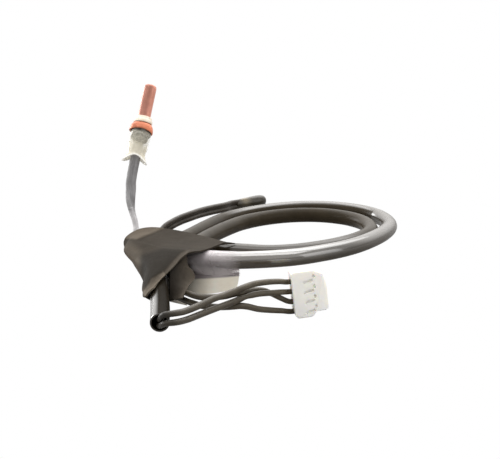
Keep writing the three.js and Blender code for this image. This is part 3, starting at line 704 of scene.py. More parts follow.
# The same pair rising out of the tape, then the upper part up to the capsule.
PIPE_LOWER = (
    ((-30.75, -16.75, 13.2), (-30.8, -16.0, 15.7), (-31.0, -15.9, 16.9), (-31.55, -15.6, 18.6),
     (-32.1, -15.3, 20.2)),
    ((-30.1, -15.4, 13.2), (-30.75, -14.58, 15.7), (-30.95, -14.45, 16.9),
     (-31.45, -14.15, 18.6), (-31.6, -13.9, 20.2)),
)
PIPE_UPPER = (
    ((-31.93, -15.42, 19.6), (-32.1, -15.3, 20.2), (-32.6, -14.8, 22.2), (-32.7, -13.3, 25.5),
     (-32.7, -13.1, 26.5), (-32.35, -12.7, 29.0)),
    ((-31.57, -14.0, 19.6), (-31.6, -13.9, 20.2), (-31.5, -13.7, 22.2), (-31.25, -13.0, 25.5),
     (-31.25, -12.9, 26.5), (-30.9, -12.5, 29.0)),
)
# The air sensor's lead from the splices to the bead.
AIR_RUNS = (
    ((-20.93, -23.6, 4.9), (-21.2, -21.7, 4.9), (-21.51, -19.5, 4.9), (-23.0, -11.6, 5.1),
     (-25.2, -5.6, 6.6), (-25.7, -2.2, 9.4), (-24.4, 0.8, 11.5), (-22.7, 3.3, 12.36),
     (-22.45, 3.72, 12.42), (-22.17, 4.2, 12.53), (-20.37, 6.6, 13.02), (-17.63, 9.92, 13.45),
     (-14.86, 13.95, 13.65), (-11.44, 18.47, 13.65), (-7.64, 22.98, 13.55)),
    ((-23.78, -24.2, 4.9), (-24.05, -22.3, 4.9), (-24.36, -20.1, 4.9), (-25.6, -11.6, 5.0),
     (-27.6, -4.6, 5.8), (-27.4, -0.9, 7.9), (-25.2, 1.3, 9.8), (-22.5, 3.5, 10.78),
     (-22.24, 3.92, 10.86), (-22.02, 4.4, 10.93), (-20.21, 6.8, 11.42), (-17.5, 10.08, 11.84),
     (-14.78, 14.05, 12.03), (-11.39, 18.53, 12.03), (-7.6, 23.02, 11.93)),
)
# Sheets: each row is a line of x, y, z points across the surface.
TAPE = (
    ((-22.35, -57, 9.8), (-23.2, -57.5, 9.1), (-23.95, -57.6, 8.2), (-24.4, -57.2, 7.5),
     (-24.9, -54, 6.9), (-24, -49.5, 5), (-20.2, -46.5, 3.6)),
    ((-20.8, -52.5, 10.72), (-22.38, -52.5, 11.21), (-24.15, -52, 10.23), (-25.25, -51.5, 8.25),
     (-25.1, -49.6, 6.2), (-22.9, -46.8, 3.5), (-18.59, -44, 3.11)),
    ((-18.48, -47, 12.02), (-21.19, -46, 12.58), (-24.1, -45.5, 11.83), (-25.65, -44, 9.55),
     (-25.7, -43, 6.76), (-23.5, -41, 2.87), (-17.41, -39.5, 2.95)),
    ((-15.78, -39.5, 13.35), (-19.99, -36, 13.62), (-25.86, -35, 12.35), (-28.88, -33, 10.16),
     (-28.64, -31, 7.54), (-25.07, -32, 2.65), (-16.06, -33, 2.54)),
    ((-11.74, -36, 13.54), (-18.52, -28, 13.67), (-26.9, -26.5, 13.58), (-32.69, -24, 11.25),
     (-31.55, -23, 8.71), (-27.11, -24, 2.86), (-15.42, -26, 2.46)),
    ((-6.21, -26.6, 13.42), (-14.26, -20.6, 14.07), (-22.35, -18.2, 15.09),
     (-29.23, -18.6, 14.98), (-33.43, -18.4, 11.83), (-30.31, -15.5, 5.04), (-17.4, -15, 1.4)),
)
TAPE_INNER_TURN = (
    ((-19.8, -40.5, 11.93), (-17.78, -39.4, 12.41), (-15.65, -37.8, 12.4)),
    ((-19.48, -45, 11.32), (-17.15, -41.8, 10.99), (-15.52, -38.4, 10.24)),
    ((-19.34, -47, 10.6), (-16.83, -43.2, 9.85), (-14.24, -39.3, 9.07)),
    ((-19.24, -48.6, 9.3), (-16.72, -45.2, 8.62), (-13.66, -41.2, 7.79)),
    ((-19.17, -50, 7.46), (-16.77, -48.4, 7.26), (-14.82, -47, 7.24)),
    ((-19.13, -51, 5.28), (-17.56, -51.4, 5.27), (-15.97, -52, 5.82)),
)
TAPE_LOWER_FLAP = (
    ((-13.92, -27.5, 13.18), (-11.62, -27, 12.67), (-9.31, -26.8, 12.17)),
    ((-9.83, -26.4, 13.42), (-8.8, -26.3, 12.9), (-7.77, -26.2, 12.49)),
    ((-5.72, -25.2, 13.05), (-5.2, -25.2, 12.83), (-4.68, -25.2, 12.65)),
    ((-3.91, -24.8, 12.72), (-3.91, -24.85, 12.64), (-3.91, -24.9, 12.56)),
)
LABEL = (
    ((-16.3, -29.5, 6.1), (-16.45, -30.8, 5.95), (-16.7, -32.1, 5.7), (-17.2, -32.7, 3.6),
     (-17.8, -32.9, 1.2)),
    ((-13.86, -30.2, 6.41), (-14, -31.6, 6.3), (-14.23, -33, 6.1), (-15.09, -33.6, 3.89),
     (-16.03, -33.8, 1.47)),
    ((-8.94, -31.4, 7.15), (-8.88, -33.2, 7.04), (-8.93, -34.8, 6.68), (-9.43, -35.4, 4.65),
     (-9.85, -35.6, 2.2)),
    ((-2.81, -31.6, 7.7), (-2.71, -33.6, 7.7), (-2.7, -35.1, 7.29), (-2.92, -35.7, 5.52),
     (-3.4, -35.9, 3.49)),
)
LABEL_TAIL = (
    ((-19.91, -42.6, 3.59), (-18.26, -41.6, 3.3), (-16.59, -40.8, 2.81)),
    ((-19.9, -42.8, 2.88), (-18.01, -41.8, 2.46), (-16.09, -41, 2.1)),
    ((-19.78, -43, 2.3), (-17.77, -42, 1.49), (-15.6, -41.2, 0.74)),
)

# Plug frame: x runs right to the mating nose, y up the row of pins, z towards the front.
PLUG_YAW, PLUG_ROLL = math.radians(7), math.radians(6.5)
PLUG_X = unit((math.cos(PLUG_YAW) * math.cos(PLUG_ROLL), math.sin(PLUG_YAW), math.sin(PLUG_ROLL)))
PLUG_Y = unit(square_to(np.array([-math.sin(PLUG_ROLL), 0, math.cos(PLUG_ROLL)]), PLUG_X))
PLUG = basis(PLUG_X, np.cross(PLUG_X, PLUG_Y), (10.15, -46.4, 4.6))

# Sensor frames: the origin is the tip and z runs towards the lead.
PROBE_AXIS = unit((-0.18, -0.411, -0.8936))
PROBE = basis(unit(np.cross((0, 1, 0), PROBE_AXIS)), PROBE_AXIS, (-27.0, -3.3, 51.8))
BEAD = basis((0, 0, 1), unit((-0.7656, -0.6344, 0.0)), (4.73, 34.50, 12.75))

# The camera's place, and the plane facing it on which the tape's facets are laid out.
VIEW_POINT = np.array([0.0, -291.0, 75.4])
VIEW_PITCH = 12.5                # degrees below level
VIEW_PLANE = 262.5               # from the view point

# ---------------------------------------------------------------- sheath
sheath_line, sheath_s = path(SHEATH_PATH, 0.7)
sheath_line = wobble(sheath_line, amount=0.06, wave=22.0, seed=3.0)
sheath_tangent, sheath_normal, sheath_binormal = frames(sheath_line)


def s_at(x, y, after=0.0):
    """Distance along the sheath nearest to a place in plan, not before after."""
    gap = np.hypot(sheath_line[:, 0] - x, sheath_line[:, 1] - y) + (sheath_s < after) * 1e3
    return sheath_s[int(np.argmin(gap))]


def make_sheath():
    outer_radius, inner_radius = SHEATH_OD / 2, SHEATH_ID / 2
    base = circle(40)
    sections = []
    for s in sheath_s:
        # the tube is never quite round where it bends
        oval = 0.012 * noise_at(s * 0.05, 2.0, 0.5)
        radius = outer_radius * (1 + 0.006 * noise_at(s * 0.3, 9.0, 0.5))
        sections.append(base * np.array([radius * (1 + oval), radius * (1 - oval)]))
    outer = rings(sheath_line, sheath_normal, sheath_binormal, np.array(sections))
    inner = rings(sheath_line, sheath_normal, sheath_binormal, base * inner_radius)

    def rim(i, outward):
        """Loops round the lip, from the outside in."""
        middle, half = (outer_radius + inner_radius) / 2, (outer_radius - inner_radius) / 2
        loops = []
        for angle in np.radians((30, 60, 90, 120, 150)):
            lip = base * (middle + half * math.cos(angle))
            reach = outward * half * 0.7 * math.sin(angle)
            loops.append(sheath_line[i] + sheath_tangent[i] * reach
                         + lip[:, 0:1] * sheath_normal[i] + lip[:, 1:2] * sheath_binormal[i])
        return loops

    loops = list(outer) + rim(-1, 1) + list(inner[::-1]) + rim(0, -1)[::-1]
    piece, _ = skinned("sheath_tube", loops, closed=True)

    right, near = s_at(38.5, 18), s_at(-13.9, -31.2)
    second_front = s_at(24.2, -16.4, near + 60.0)
    front = s_at(14.0, -30.4, right)
    far_start, far_end = s_at(-8.2, 12.6), s_at(24.6, 31.2)
    first_run = 45.0
    # (distance along the sheath, shine)
    stations, levels = zip(
        (0.0, 1.0), (30.0, 1.0), (first_run, 0.0), (far_start, 0.0), (far_start + 12, 0.45),
        (far_end, 0.45), (right + 10, 0.4), (front - 14, 0.55), (front + 6, 0.95),
        (near - 4, 1.0), (near + 10, 0.0), (second_front - 12, 0.0), (second_front, 0.2),
        (1e4, 0.2))
    outer_shine = np.interp(sheath_s, stations, levels)
    shine = np.concatenate([outer_shine, [outer_shine[-1]] * 5, np.zeros(len(sheath_s)),
                            [outer_shine[0] * 0.2] * 5])
    shine = np.repeat(shine[:, None], len(base), 1)
    for k, s in enumerate(sheath_s):
        outward = base[:, 0:1] * sheath_normal[k] + base[:, 1:2] * sheath_binormal[k]
        if s < first_run:            # the left flank only
            shine[k] *= np.clip((-outward[:, 0] - 0.2) / 0.55, 0, 1)
        elif s < right:              # a thin line along the top of the far side
            shine[k] *= np.clip((outward[:, 2] - 0.68) / 0.16, 0, 1)
        else:
            shine[k] *= np.interp(outward[:, 2], [-0.7, -0.25, 0.3], [0.2, 0.3, 1.0])
    paint(piece, "shine", shine)

    # painted shade: darker along the run to the mouth and on the inside wall; painted light: paler
    # along the front of the near turn before the tape
    tone = np.interp(sheath_s, [0.0, 24.0, 42.0, front - 4, front + 14, near - 4, near + 10],
                     [0.34, 0.34, 1.0, 1.0, 1.7, 1.7, 1.0])
    tone = np.concatenate([tone, [1.0] * 5, tone[::-1] * 0.6, [0.6] * 5])
    paint(piece, "tone", np.repeat(tone[:, None], len(base), 1))
    finish(piece, "sheath", "harness", "sheath_pvc", "sheath")


# ---------------------------------------------------------------- wires
def inside(side, start, end, every):
    """Guide points of one core inside the sheath; side is 1 or -1."""
    first, last = np.searchsorted(sheath_s, [start, end])
    return (sheath_line + side * HALF_PITCH * sheath_normal)[first:last:every]


def make_plug_wires():
    lines = []
    for i, pin in enumerate(PINS):
        guide = [[place(PLUG, x, pin, 0) for x in (1.85, -0.6)],
                 PLUG_RUNS[i][::-1], BRANCH_RUNS[i]]
        if i < 2:
            guide.append(inside((1, -1)[i], 0.0, IN_SHEATH + 0.01, 4))
        line, _ = path(np.vstack(guide), 0.45)
        lines.append(wobble(line, amount=0.10, wave=9.0, seed=11.0 + i))

    def radii(i):
        """Thinner towards the plug and the far ends; touching wires stay apart."""
        line = lines[i]
        wanted = np.interp(line[:, 0], [-30.0, -19.0, -16.5, -13.0, -2.0, 4.0, 9.0],
                           [0.65, 0.66, 0.72, 0.77, 0.77, 0.72, 0.65])
        gap = np.full(len(line), 9.0)
        for j, other in enumerate(lines):
            if j != i:
                apart = np.linalg.norm(line[:, None] - other[None], axis=2)
                gap = np.minimum(gap, apart.min(1))
        radius = np.minimum(wanted, np.maximum(gap / 2 - 0.005, 0.6))
        for _ in range(4):
            mean = (radius[:-2] + 2 * radius[1:-1] + radius[2:]) / 4
            radius[1:-1] = np.minimum(radius[1:-1], mean + 0.01)
        return radius

    replaced = (("connector_wire_1",), ("connector_wire_2",),
                ("connector_wire_3", "air_wire_1"), ("connector_wire_4", "air_wire_2"))
    for i, names in enumerate(replaced):
        piece, verts = round_wire(f"wire_{i + 1}", lines[i], radii(i), sides=24, seed=11.0 + i)
        # painted shade: darker towards the mouth of the sheath and inside it, paler towards the
        # plug
        paint(piece, "tone", np.interp(verts[:, 0], [-19.0, -17.6, -14.5, -4.0, 8.0],
                                       [0.3, 0.4, 0.85, 1.05, 1.5]))
        finish(piece, "wire", None, "dark_wire_pvc", *names)
        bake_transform(piece)


def make_sheath_cores():
    """The rest of the pipe sensor's pair, inside the sheath and under the tape."""
    for i, side in ((1, 1), (2, -1)):
        guide = np.vstack([inside(side, IN_SHEATH + 0.4, sheath_s[-1] + 1, 8),
                           PIPE_RUNS[i - 1][:6]])
        piece, _ = round_wire(f"sheath_core_{i}", path(guide, 1.2)[0], WIRE_RADIUS * 0.97,
                              sides=12, seed=21.0 + i)
        finish(piece, "core", "harness", "dark_wire_pvc", f"pair_wire_{i}")


def make_splices():
    """Insulated crimp splices, each with two waists."""
    # (radius, z)
    profile = rounded([
        (0.875, 0.25), (0.95, 0.0), (1.15, 0.0), (1.2, 0.3), (1.2, 1.8), (1.08, 2.3),
        (1.08, 3.0), (1.2, 3.4), (1.2, 4.1), (1.08, 4.5), (1.08, 5.2), (1.2, 5.7), (1.2, 7.2),
        (1.15, 7.5), (0.95, 7.5), (0.875, 7.25)], radius=0.1, steps=2)
    axis = unit((-0.14, 0.99, 0))
    for k, x, y in ((1, -20.45, -27.0), (2, -23.3, -27.6)):
        matrix = basis(unit(np.cross(axis, (0, 0, 1))), axis, (x, y, 4.9))
        piece = lathe(f"splice_{k}", profile, matrix, 28, closed=True)
        finish(piece, "splice", "harness", "splice_pvc", f"air_splice_{k}")


def into(matrix, x, depths):
    """Guide points running into a sensor, x off its axis."""
    return [place(matrix, x, 0, z) for z in depths]


def make_pipe_lead():
    lower = [np.vstack([PIPE_RUNS[k][5:8], PIPE_LOWER[k]]) for k in range(2)]
    piece = twin_lead("probe_lead_lower", *lower, radius=WIRE_RADIUS, web=0.7, seed=31.0)
    finish(piece, "grey", None, "grey_wire_pvc", "probe_lead_1", "probe_lead_2")
    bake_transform(piece)

    upper = [np.vstack([PIPE_UPPER[k], into(PROBE, x, (21.0, 17.5, 12.75))])
             for k, x in enumerate((HALF_PITCH, -HALF_PITCH))]
    piece = twin_lead("probe_lead_upper", *upper, radius=WIRE_RADIUS, web=0.7, seed=32.0)
    finish(piece, "grey", None, "grey_wire_pvc", "probe_wire_1", "probe_wire_2")
    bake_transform(piece)


# ---------------------------------------------------------------- pipe sensor
TUBE_RADIUS, BELL_RADIUS = 1.7, 3.25


def capsule_shape(angle, radius, z):
    """Slightly out of round, with a bell rim that dips on one side."""
    radius *= 1 + 0.006 * math.sin(2 * angle + z * 0.35) + 0.004 * math.sin(3 * angle - z * 0.8)
    x, y, dipped = round_shape(angle, radius, z)
    if z > 12.6:
        dipped -= (z - 12.6) * 0.35 * max(0.0, math.cos(angle + math.pi / 2)) ** 2
    return x, y, dipped


def make_capsule():
    # (radius, z), outside from the tip to the rim, then back inside
    outside = [(0, 0), (0.7, 0.0), (1.22, 0.06), (1.5, 0.22), (1.64, 0.5), (TUBE_RADIUS, 0.95),
               (TUBE_RADIUS, 3), (TUBE_RADIUS, 6), (TUBE_RADIUS, 9), (TUBE_RADIUS, 10.7),
               (TUBE_RADIUS + 0.12, 10.95), (2.25, 11.12), (2.62, 11.4), (2.9, 11.8),
               (3.08, 12.3), (3.2, 12.9), (BELL_RADIUS, 13.6)]
    hollow = [(BELL_RADIUS - 0.36, 13.6), (BELL_RADIUS - 0.38, 12.9), (BELL_RADIUS * 0.8, 12.3),
              (BELL_RADIUS * 0.55, 11.55), (1.35, 11.3), (1.3, 10.5), (1.3, 1.4), (0.9, 0.75),
              (0, 0.6)]
    piece = lathe("probe_capsule_shell", rounded(outside + hollow, radius=0.16, steps=3), PROBE,
                  72, shape=capsule_shape)
    finish(piece, "copper", "pipe_sensor", "copper_capsule", "probe_capsule")
    piece.data.materials.append(LOOKS["bell"])
    faces = piece.data.polygons
    for face, centre in zip(faces, local_points(PROBE, [face.center for face in faces])):
        if centre[2] > 10.9:
            face.material_index = 1
    # painted highlight: paler down both flanks, most on the right
    across = local_points(PROBE, [v.co for v in piece.data.vertices])[:, :2]
    across /= np.maximum(np.linalg.norm(across, axis=1), 1e-6)[:, None]
    flank = across @ PROBE[0, :2]
    paint(piece, "tone", 1 + 0.9 * np.clip((flank - 0.1) / 0.8, 0, 1) ** 1.5
          + 0.3 * np.clip((-flank - 0.4) / 0.6, 0, 1))


def make_ring():
    # (distance out from the tube, z)
    outline = [(0.08, 9.35), (0.4, 9.3), (0.56, 9.5), (0.5, 9.85), (0.72, 10.05), (0.84, 10.5),
               (0.84, 10.95), (0.66, 11.12), (0.45, 11.0), (0.08, 10.8)]
    profile = [(TUBE_RADIUS + out, z) for out, z in outline]
    piece = lathe("probe_ring_band", rounded(profile, radius=0.1, steps=3), PROBE, 56,
                  closed=True)
    finish(piece, "ring", "pipe_sensor", "ring_plastic", "probe_ring")


def blob_shape(angle, radius, z):
    """Lumpy, as poured."""
    spot = Vector(round_shape(angle, radius, z)) * 0.9
    scale = 1 + 0.16 * noise.noise(spot) + 0.07 * noise.noise(spot * 2.7)
    lift = 0.35 * noise.noise(spot * 1.3 + Vector((5, 1, 2))) * min(1.0, radius)
    return round_shape(angle, radius * scale, z + lift)


def make_potting():
    # (radius, z)
    profile = [(0, 12.35), (1.0, 12.4), (2.0, 12.55), (2.5, 13.0), (2.62, 13.7), (2.55, 14.6),
               (2.35, 15.3), (2.05, 15.9), (1.6, 16.4), (0.95, 16.8), (0, 16.9)]
    piece = lathe("probe_sealing_blob", rounded(profile, radius=0.3, steps=3), PROBE, 56,
                  shape=blob_shape)
    finish(piece, "potting", "pipe_sensor", "sealing_compound", "probe_potting")


def make_sleeve():
    """Clear sleeve whose slit mouth spreads into two wings."""
    rows, start = 44, 13.85
    outer, inner, milk = [], [], []
    for k in range(rows + 1):
        w = k / rows
        wall = 0.2 + 0.16 * max(0.0, (w - 0.93) / 0.07)
        outer_row, inner_row, milk_row = [], [], []
        for t in angles(96):
            wing = abs(math.cos(t)) ** 2.2
            z = start + (20.5 + 1.7 * wing - start) * w
            radius = np.interp(z, [13.85, 15.0, 18.0, 19.8, 22.3], [2.92, 2.98, 2.66, 2.46, 2.5])
            radius += 0.95 * wing * max(0.0, (w - 0.72) / 0.28) ** 1.6     # spreading wings
            radius -= 0.25 * (1 - wing) * max(0.0, (w - 0.6) / 0.4)        # pinched between
            radius += 0.06 * noise_at(math.cos(t) * 2, math.sin(t) * 2, z * 0.7)
            outer_row.append(place(PROBE, *round_shape(t, radius, z)))
            inner_row.append(place(PROBE, *round_shape(t, radius - wall, z)))
            cloudy = np.interp(z + 0.5 * math.cos(t - 0.6), [14.5, 16.2, 17.6, 20.4, 22.3],
                               [0.12, 0.2, 0.5, 0.62, 0.5])
            milk_row.append(cloudy + 0.35 * max(0.0, (w - 0.9) / 0.1))
        outer.append(outer_row)
        inner.append(inner_row)
        milk.append(milk_row)
    piece, _ = skinned("probe_clear_sleeve", outer + inner[::-1], closed=True)
    paint(piece, "milk", milk + milk[::-1])
    finish(piece, "sleeve", "pipe_sensor", "clear_sleeve", "probe_sleeve")


# ---------------------------------------------------------------- air sensor and its lead
def make_air_lead():
    cores = [np.vstack([AIR_RUNS[k], into(BEAD, x, (13.6, 11.2, 5.75))])
             for k, x in enumerate((AIR_HALF_PITCH, -AIR_HALF_PITCH))]
    piece = twin_lead("air_lead_twin", *cores, radius=AIR_LEAD_RADIUS, web=0.75, seed=41.0)
    finish(piece, "bead_lead", None, "dark_wire_pvc",
           "air_lead_1", "air_lead_2", "bead_lead_1", "bead_lead_2")
    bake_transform(piece)


def bead_shape(angle, radius, z):
    """Round at the tip, flattening towards the two cores."""
    x, y = math.cos(angle), math.sin(angle)
    spot = Vector((x * 1.2, y * 1.2, z * 0.45))
    radius *= 1 + 0.03 * noise.noise(spot) + 0.012 * noise.noise(spot * 2.9)
    flat = min(1.0, max(0.0, (z - 3.0) / 8.0))
    return radius * (1.14 + 0.12 * flat) * x, radius * (1.0 - 0.22 * flat) * y, z


def make_bead():
    # (radius, z)
    profile = [(0, 0), (0.45, 0.05), (0.86, 0.22), (1.22, 0.55), (1.46, 1.05), (1.6, 1.8),
               (1.64, 2.6), (1.62, 3.6), (1.58, 4.8), (1.5, 6.2), (1.42, 7.6), (1.34, 9.0),
               (1.27, 10.2), (1.2, 11.0), (1.08, 11.5), (0.85, 11.7), (0, 11.72)]
    piece = lathe("air_sensor_bead", rounded(profile, radius=0.25, steps=3), BEAD, 56,
                  shape=bead_shape)
    # painted highlight: a pale patch on the bead beside the lead
    local = local_points(BEAD, [v.co for v in piece.data.vertices])
    painted_glint = np.exp(-((local[:, 2] - 8.6) / 1.5) ** 2) * np.clip(0.5 + local[:, 0] * 0.5, 0, 1)
    paint(piece, "tone", 1 + 5.0 * painted_glint)
    finish(piece, "epoxy", "air_sensor", "black_epoxy", "bead_coating")


# ---------------------------------------------------------------- tape and label sheets
def surface_grid(rows, along, across):
    """Points [u][v] of a surface: u follows each row, v goes from row to row."""
    curves = np.array([spline(row, along) for row in rows])
    return np.array([spline(curves[:, k], across) for k in range(along)])


def wrinkles(shape, amount, u_step, v_step, seed):
    return np.array([[amount * noise_at(i * u_step, j * v_step, seed) for j in range(shape[1])]
                     for i in range(shape[0])])


def sheet(name, grid, thickness, lift):
    """A closed sheet of even thickness over a grid of points raised by lift."""
    rows, columns = grid.shape[:2]
    normal = unit(np.cross(np.gradient(grid, axis=0), np.gradient(grid, axis=1)))
    grid = grid + normal * lift[:, :, None]
    half = normal * thickness / 2
    verts = np.vstack([(grid + half).reshape(-1, 3), (grid - half).reshape(-1, 3)])
    under = rows * columns

    def at(i, j, side=0):
        return side + i * columns + j

    faces = []
    for i in range(rows - 1):
        for j in range(columns - 1):
            faces.append((at(i, j), at(i + 1, j), at(i + 1, j + 1), at(i, j + 1)))
            faces.append((at(i, j, under), at(i, j + 1, under), at(i + 1, j + 1, under),
                          at(i + 1, j, under)))
    for i in range(rows - 1):
        for j in (0, columns - 1):
            face = (at(i, j), at(i, j, under), at(i + 1, j, under), at(i + 1, j))
            faces.append(face if j == 0 else face[::-1])
    for j in range(columns - 1):
        for i in (0, rows - 1):
            face = (at(i, j), at(i, j + 1), at(i, j + 1, under), at(i, j, under))
            faces.append(face if i == 0 else face[::-1])
    return mesh_object(name, verts, faces, sharp=math.radians(50))


def paint_sheet(piece, name, values):
    """Paints both sides of a sheet alike."""
    paint(piece, name, [values, values])


def on_view_plane(points):
    """Points cast from the view point onto the view plane, as right and up."""
    pitch = math.radians(VIEW_PITCH)
    offset = points - VIEW_POINT
    depth = offset @ np.array([0, math.cos(pitch), -math.sin(pitch)])
    height = offset @ np.array([0, math.sin(pitch), math.cos(pitch)])
    return np.stack([offset[..., 0], height], -1) * (VIEW_PLANE / depth)[..., None]


def inside_outline(points, outline, soft):
    """1 inside an outline on the view plane, 0 outside, eased over soft."""
    corners = np.array(outline, float)
    distance = np.full(points.shape[:-1], 1e9)
    within = np.zeros(points.shape[:-1], bool)
    for start, end in zip(corners, np.roll(corners, -1, axis=0)):
        edge = end - start
        t = np.clip(((points - start) @ edge) / (edge @ edge), 0, 1)
        gap = np.linalg.norm(points - start - t[..., None] * edge, axis=-1)
        distance = np.minimum(distance, gap)
        spans = (start[1] > points[..., 1]) != (end[1] > points[..., 1])
        with np.errstate(divide="ignore", invalid="ignore"):
            x = edge[0] * (points[..., 1] - start[1]) / edge[1] + start[0]
        within ^= spans & (points[..., 0] < x)
    w = np.clip(np.where(within, distance, -distance) / soft * 0.5 + 0.5, 0, 1)
    return w * w * (3 - 2 * w)


# Flat facets of the tape: outline (right, up) on the view plane, tone, lift, edge softness. The
# tone is painted light and shade on each facet.
FACETS = [
    ([(-29.5, 0.875), (-21.25, 0.375), (-22.25, -0.125), (-28.375, -2.625), (-31.25, -2.375)],
     2.9, -0.12, 0.275),
    ([(-21.75, 0.875), (-15, -0.125), (-3.5, -3.375), (-11.25, -5.875), (-16, -5),
      (-21.75, -4.75), (-28.25, -2.875), (-22.25, -0.125)], 0.95, 0.12, 0.3),
    ([(-32.5, -4.125), (-29.75, -3.875), (-27.25, -5.375), (-27.25, -8.375), (-29.25, -7.375),
      (-32.5, -5.625)], 2.1, -0.05, 1.25),
    ([(-30.5, -6.375), (-27.75, -8.125), (-26.75, -11.125), (-26.75, -15.125),
      (-28.5, -11.375)], 2.2, -0.04, 1.0),
    ([(-27, -6.625), (-21.75, -4.875), (-16.5, -5.375), (-21, -10.125), (-26, -15.375),
      (-27.25, -12.625)], 0.45, -0.05, 0.75),
    ([(-15, -5.125), (-16, -6.375), (-21, -11.625), (-21.75, -10.875), (-19.5, -8.125),
      (-17.25, -5.875)], 1.6, 0.16, 0.25),
    ([(-21, -11.625), (-22.5, -13.125), (-26, -17.125), (-26.75, -15.625), (-24.5, -12.375),
      (-21.75, -10.625)], 3.2, 0.16, 0.25),
    ([(-15, -0.125), (-3.5, -3.375), (-4.5, -3.75), (-15, -0.625)], 1.4, 0.0, 0.2),
]


def make_tape():
    shape = rows, columns = 150, 110
    grid = surface_grid(TAPE, rows, columns)
    on_plane = on_view_plane(grid)
    facing = np.zeros(shape)
    facing[:int(rows * 0.72)] = 1.0           # the outer layer, not the part wrapped underneath
    lift = (wrinkles(shape, 0.05, 5 / (rows - 1), 9 / (columns - 1), seed=0.4)
            + wrinkles(shape, 0.03, 18 / (rows - 1), 7 / (columns - 1), seed=3.4))
    tone = np.ones(shape)
    for outline, facet_shading, facet_lift, soft in FACETS:
        weight = inside_outline(on_plane, outline, soft) * facing
        # painted light and shade, facet by facet
        tone *= 1 + (facet_shading - 1) * weight
        lift += facet_lift * weight
    piece = sheet("tape_wrapped", grid, 0.42, lift)
    paint_sheet(piece, "tone", tone)
    finish(piece, "tape", "harness", "pvc_tape", "tape_wrap")


def extra_layer(name, rows, shape, thickness, tones, wrinkle, look="tape", slot="pvc_tape"):
    """A small sheet whose tone, painted light and shade, goes from the first to the second of
    tones along its rows.
    """
    piece = sheet(name, surface_grid(rows, *shape), thickness,
                  wrinkles(shape, wrinkle, 0.16, 0.13, seed=5.5))
    tone = tones[0] + (tones[1] - tones[0]) * np.linspace(0, 1, shape[0]) ** 1.6
    paint_sheet(piece, "tone", np.repeat(tone, shape[1]))
    finish(piece, look, "harness", slot)


def make_label():
    shape = (46, 60)
    grid = surface_grid(LABEL, *shape)
    piece = sheet("label_flag", grid, 0.22, wrinkles(shape, 0.04, 0.12, 0.1, seed=8.0))
    below_top = grid[:, :, 2] - grid[:, :, 2].max(0)
    paint_sheet(piece, "overlap", np.clip((below_top + 1.2) / 0.3, 0, 1))
    # painted shade: darker towards its left end under the tape, and a little paler towards its
    # right
    paint_sheet(piece, "tone", np.interp(grid[:, :, 0], [-17.0, -14.8, -12.4, -10.4, -8.0],
                                         [0.3, 0.6, 0.95, 1.1, 1.15]))
    finish(piece, "label", "harness", "label_film", "marker_label")


def make_label_wrap():
    """Clear film of the label: round the strand and pinched together where the flag begins."""
    radius, thickness = 2.28, 0.07
    first, last = (int(np.searchsorted(sheath_s, s_at(x, y, 100.0)))
                   for x, y in ((-2.6, -35.2), (-14.9, -29.2)))
    count = last - first
    outer, inner, veil = [], [], []
    for i in range(count):
        k = first + i
        outer_row, inner_row, veil_row = [], [], []
        pinch = 4.2 + 0.8 * i / (count - 1)           # depth of the fold below the strand
        fold = math.acos(radius / pinch)
        for t in angles(72):
            outward = math.cos(t) * sheath_normal[k] + math.sin(t) * sheath_binormal[k]
            down = math.acos(max(-1.0, min(1.0, -outward[2])))
            reach = radius if down > fold else radius / math.cos(fold - down)
            outer_row.append(sheath_line[k] + outward * (reach + thickness))
            inner_row.append(sheath_line[k] + outward * reach)
            # more opaque at the fold below the strand, and towards the left end, where the pale
            # film is a painted highlight along the strand running in under the tape
            veil_row.append((0.30 + 0.5 * max(0.0, 1 - down / 0.95)) * min(1.0, 0.06 + i / 6.0)
                            + 0.55 * max(0.0, (i - count + 13) / 13))
        outer.append(outer_row)
        inner.append(inner_row)
        veil.append(veil_row)
    piece, _ = skinned("label_clear_wrap", outer + inner[::-1], closed=True)
    paint(piece, "veil", veil + veil[::-1])
    finish(piece, "film", "harness", "label_film")


# ---------------------------------------------------------------- plug housing
def box(size, centre, bevel=0.0, turn=0.0):
    """A cutting box, turned by degrees in its xy plane."""
    edit = bmesh.new()
    bmesh.ops.create_cube(edit, size=1.0)
    bmesh.ops.scale(edit, vec=size, verts=edit.verts)
    bmesh.ops.translate(edit, vec=centre, verts=edit.verts)
    if bevel:
        bmesh.ops.bevel(edit, geom=list(edit.edges), offset=bevel, segments=2, affect="EDGES",
                        profile=0.5)
    piece = edited_object("cutter", edit)
    if turn:
        cos, sin = math.cos(math.radians(turn)), math.sin(math.radians(turn))
        for v in piece.data.vertices:
            x, y = v.co.x - centre[0], v.co.y - centre[1]
            v.co.x, v.co.y = centre[0] + x * cos - y * sin, centre[1] + x * sin + y * cos
    return piece


def prism(name, outline, bottom, top):
    edit = bmesh.new()
    low = [edit.verts.new((x, y, bottom)) for x, y in outline]
    high = [edit.verts.new((x, y, top)) for x, y in outline]
    edit.faces.new(low[::-1])
    edit.faces.new(high)
    for k in range(len(outline)):
        n = (k + 1) % len(outline)
        edit.faces.new((low[k], low[n], high[n], high[k]))
    bmesh.ops.recalc_face_normals(edit, faces=edit.faces)
    return edited_object(name, edit)


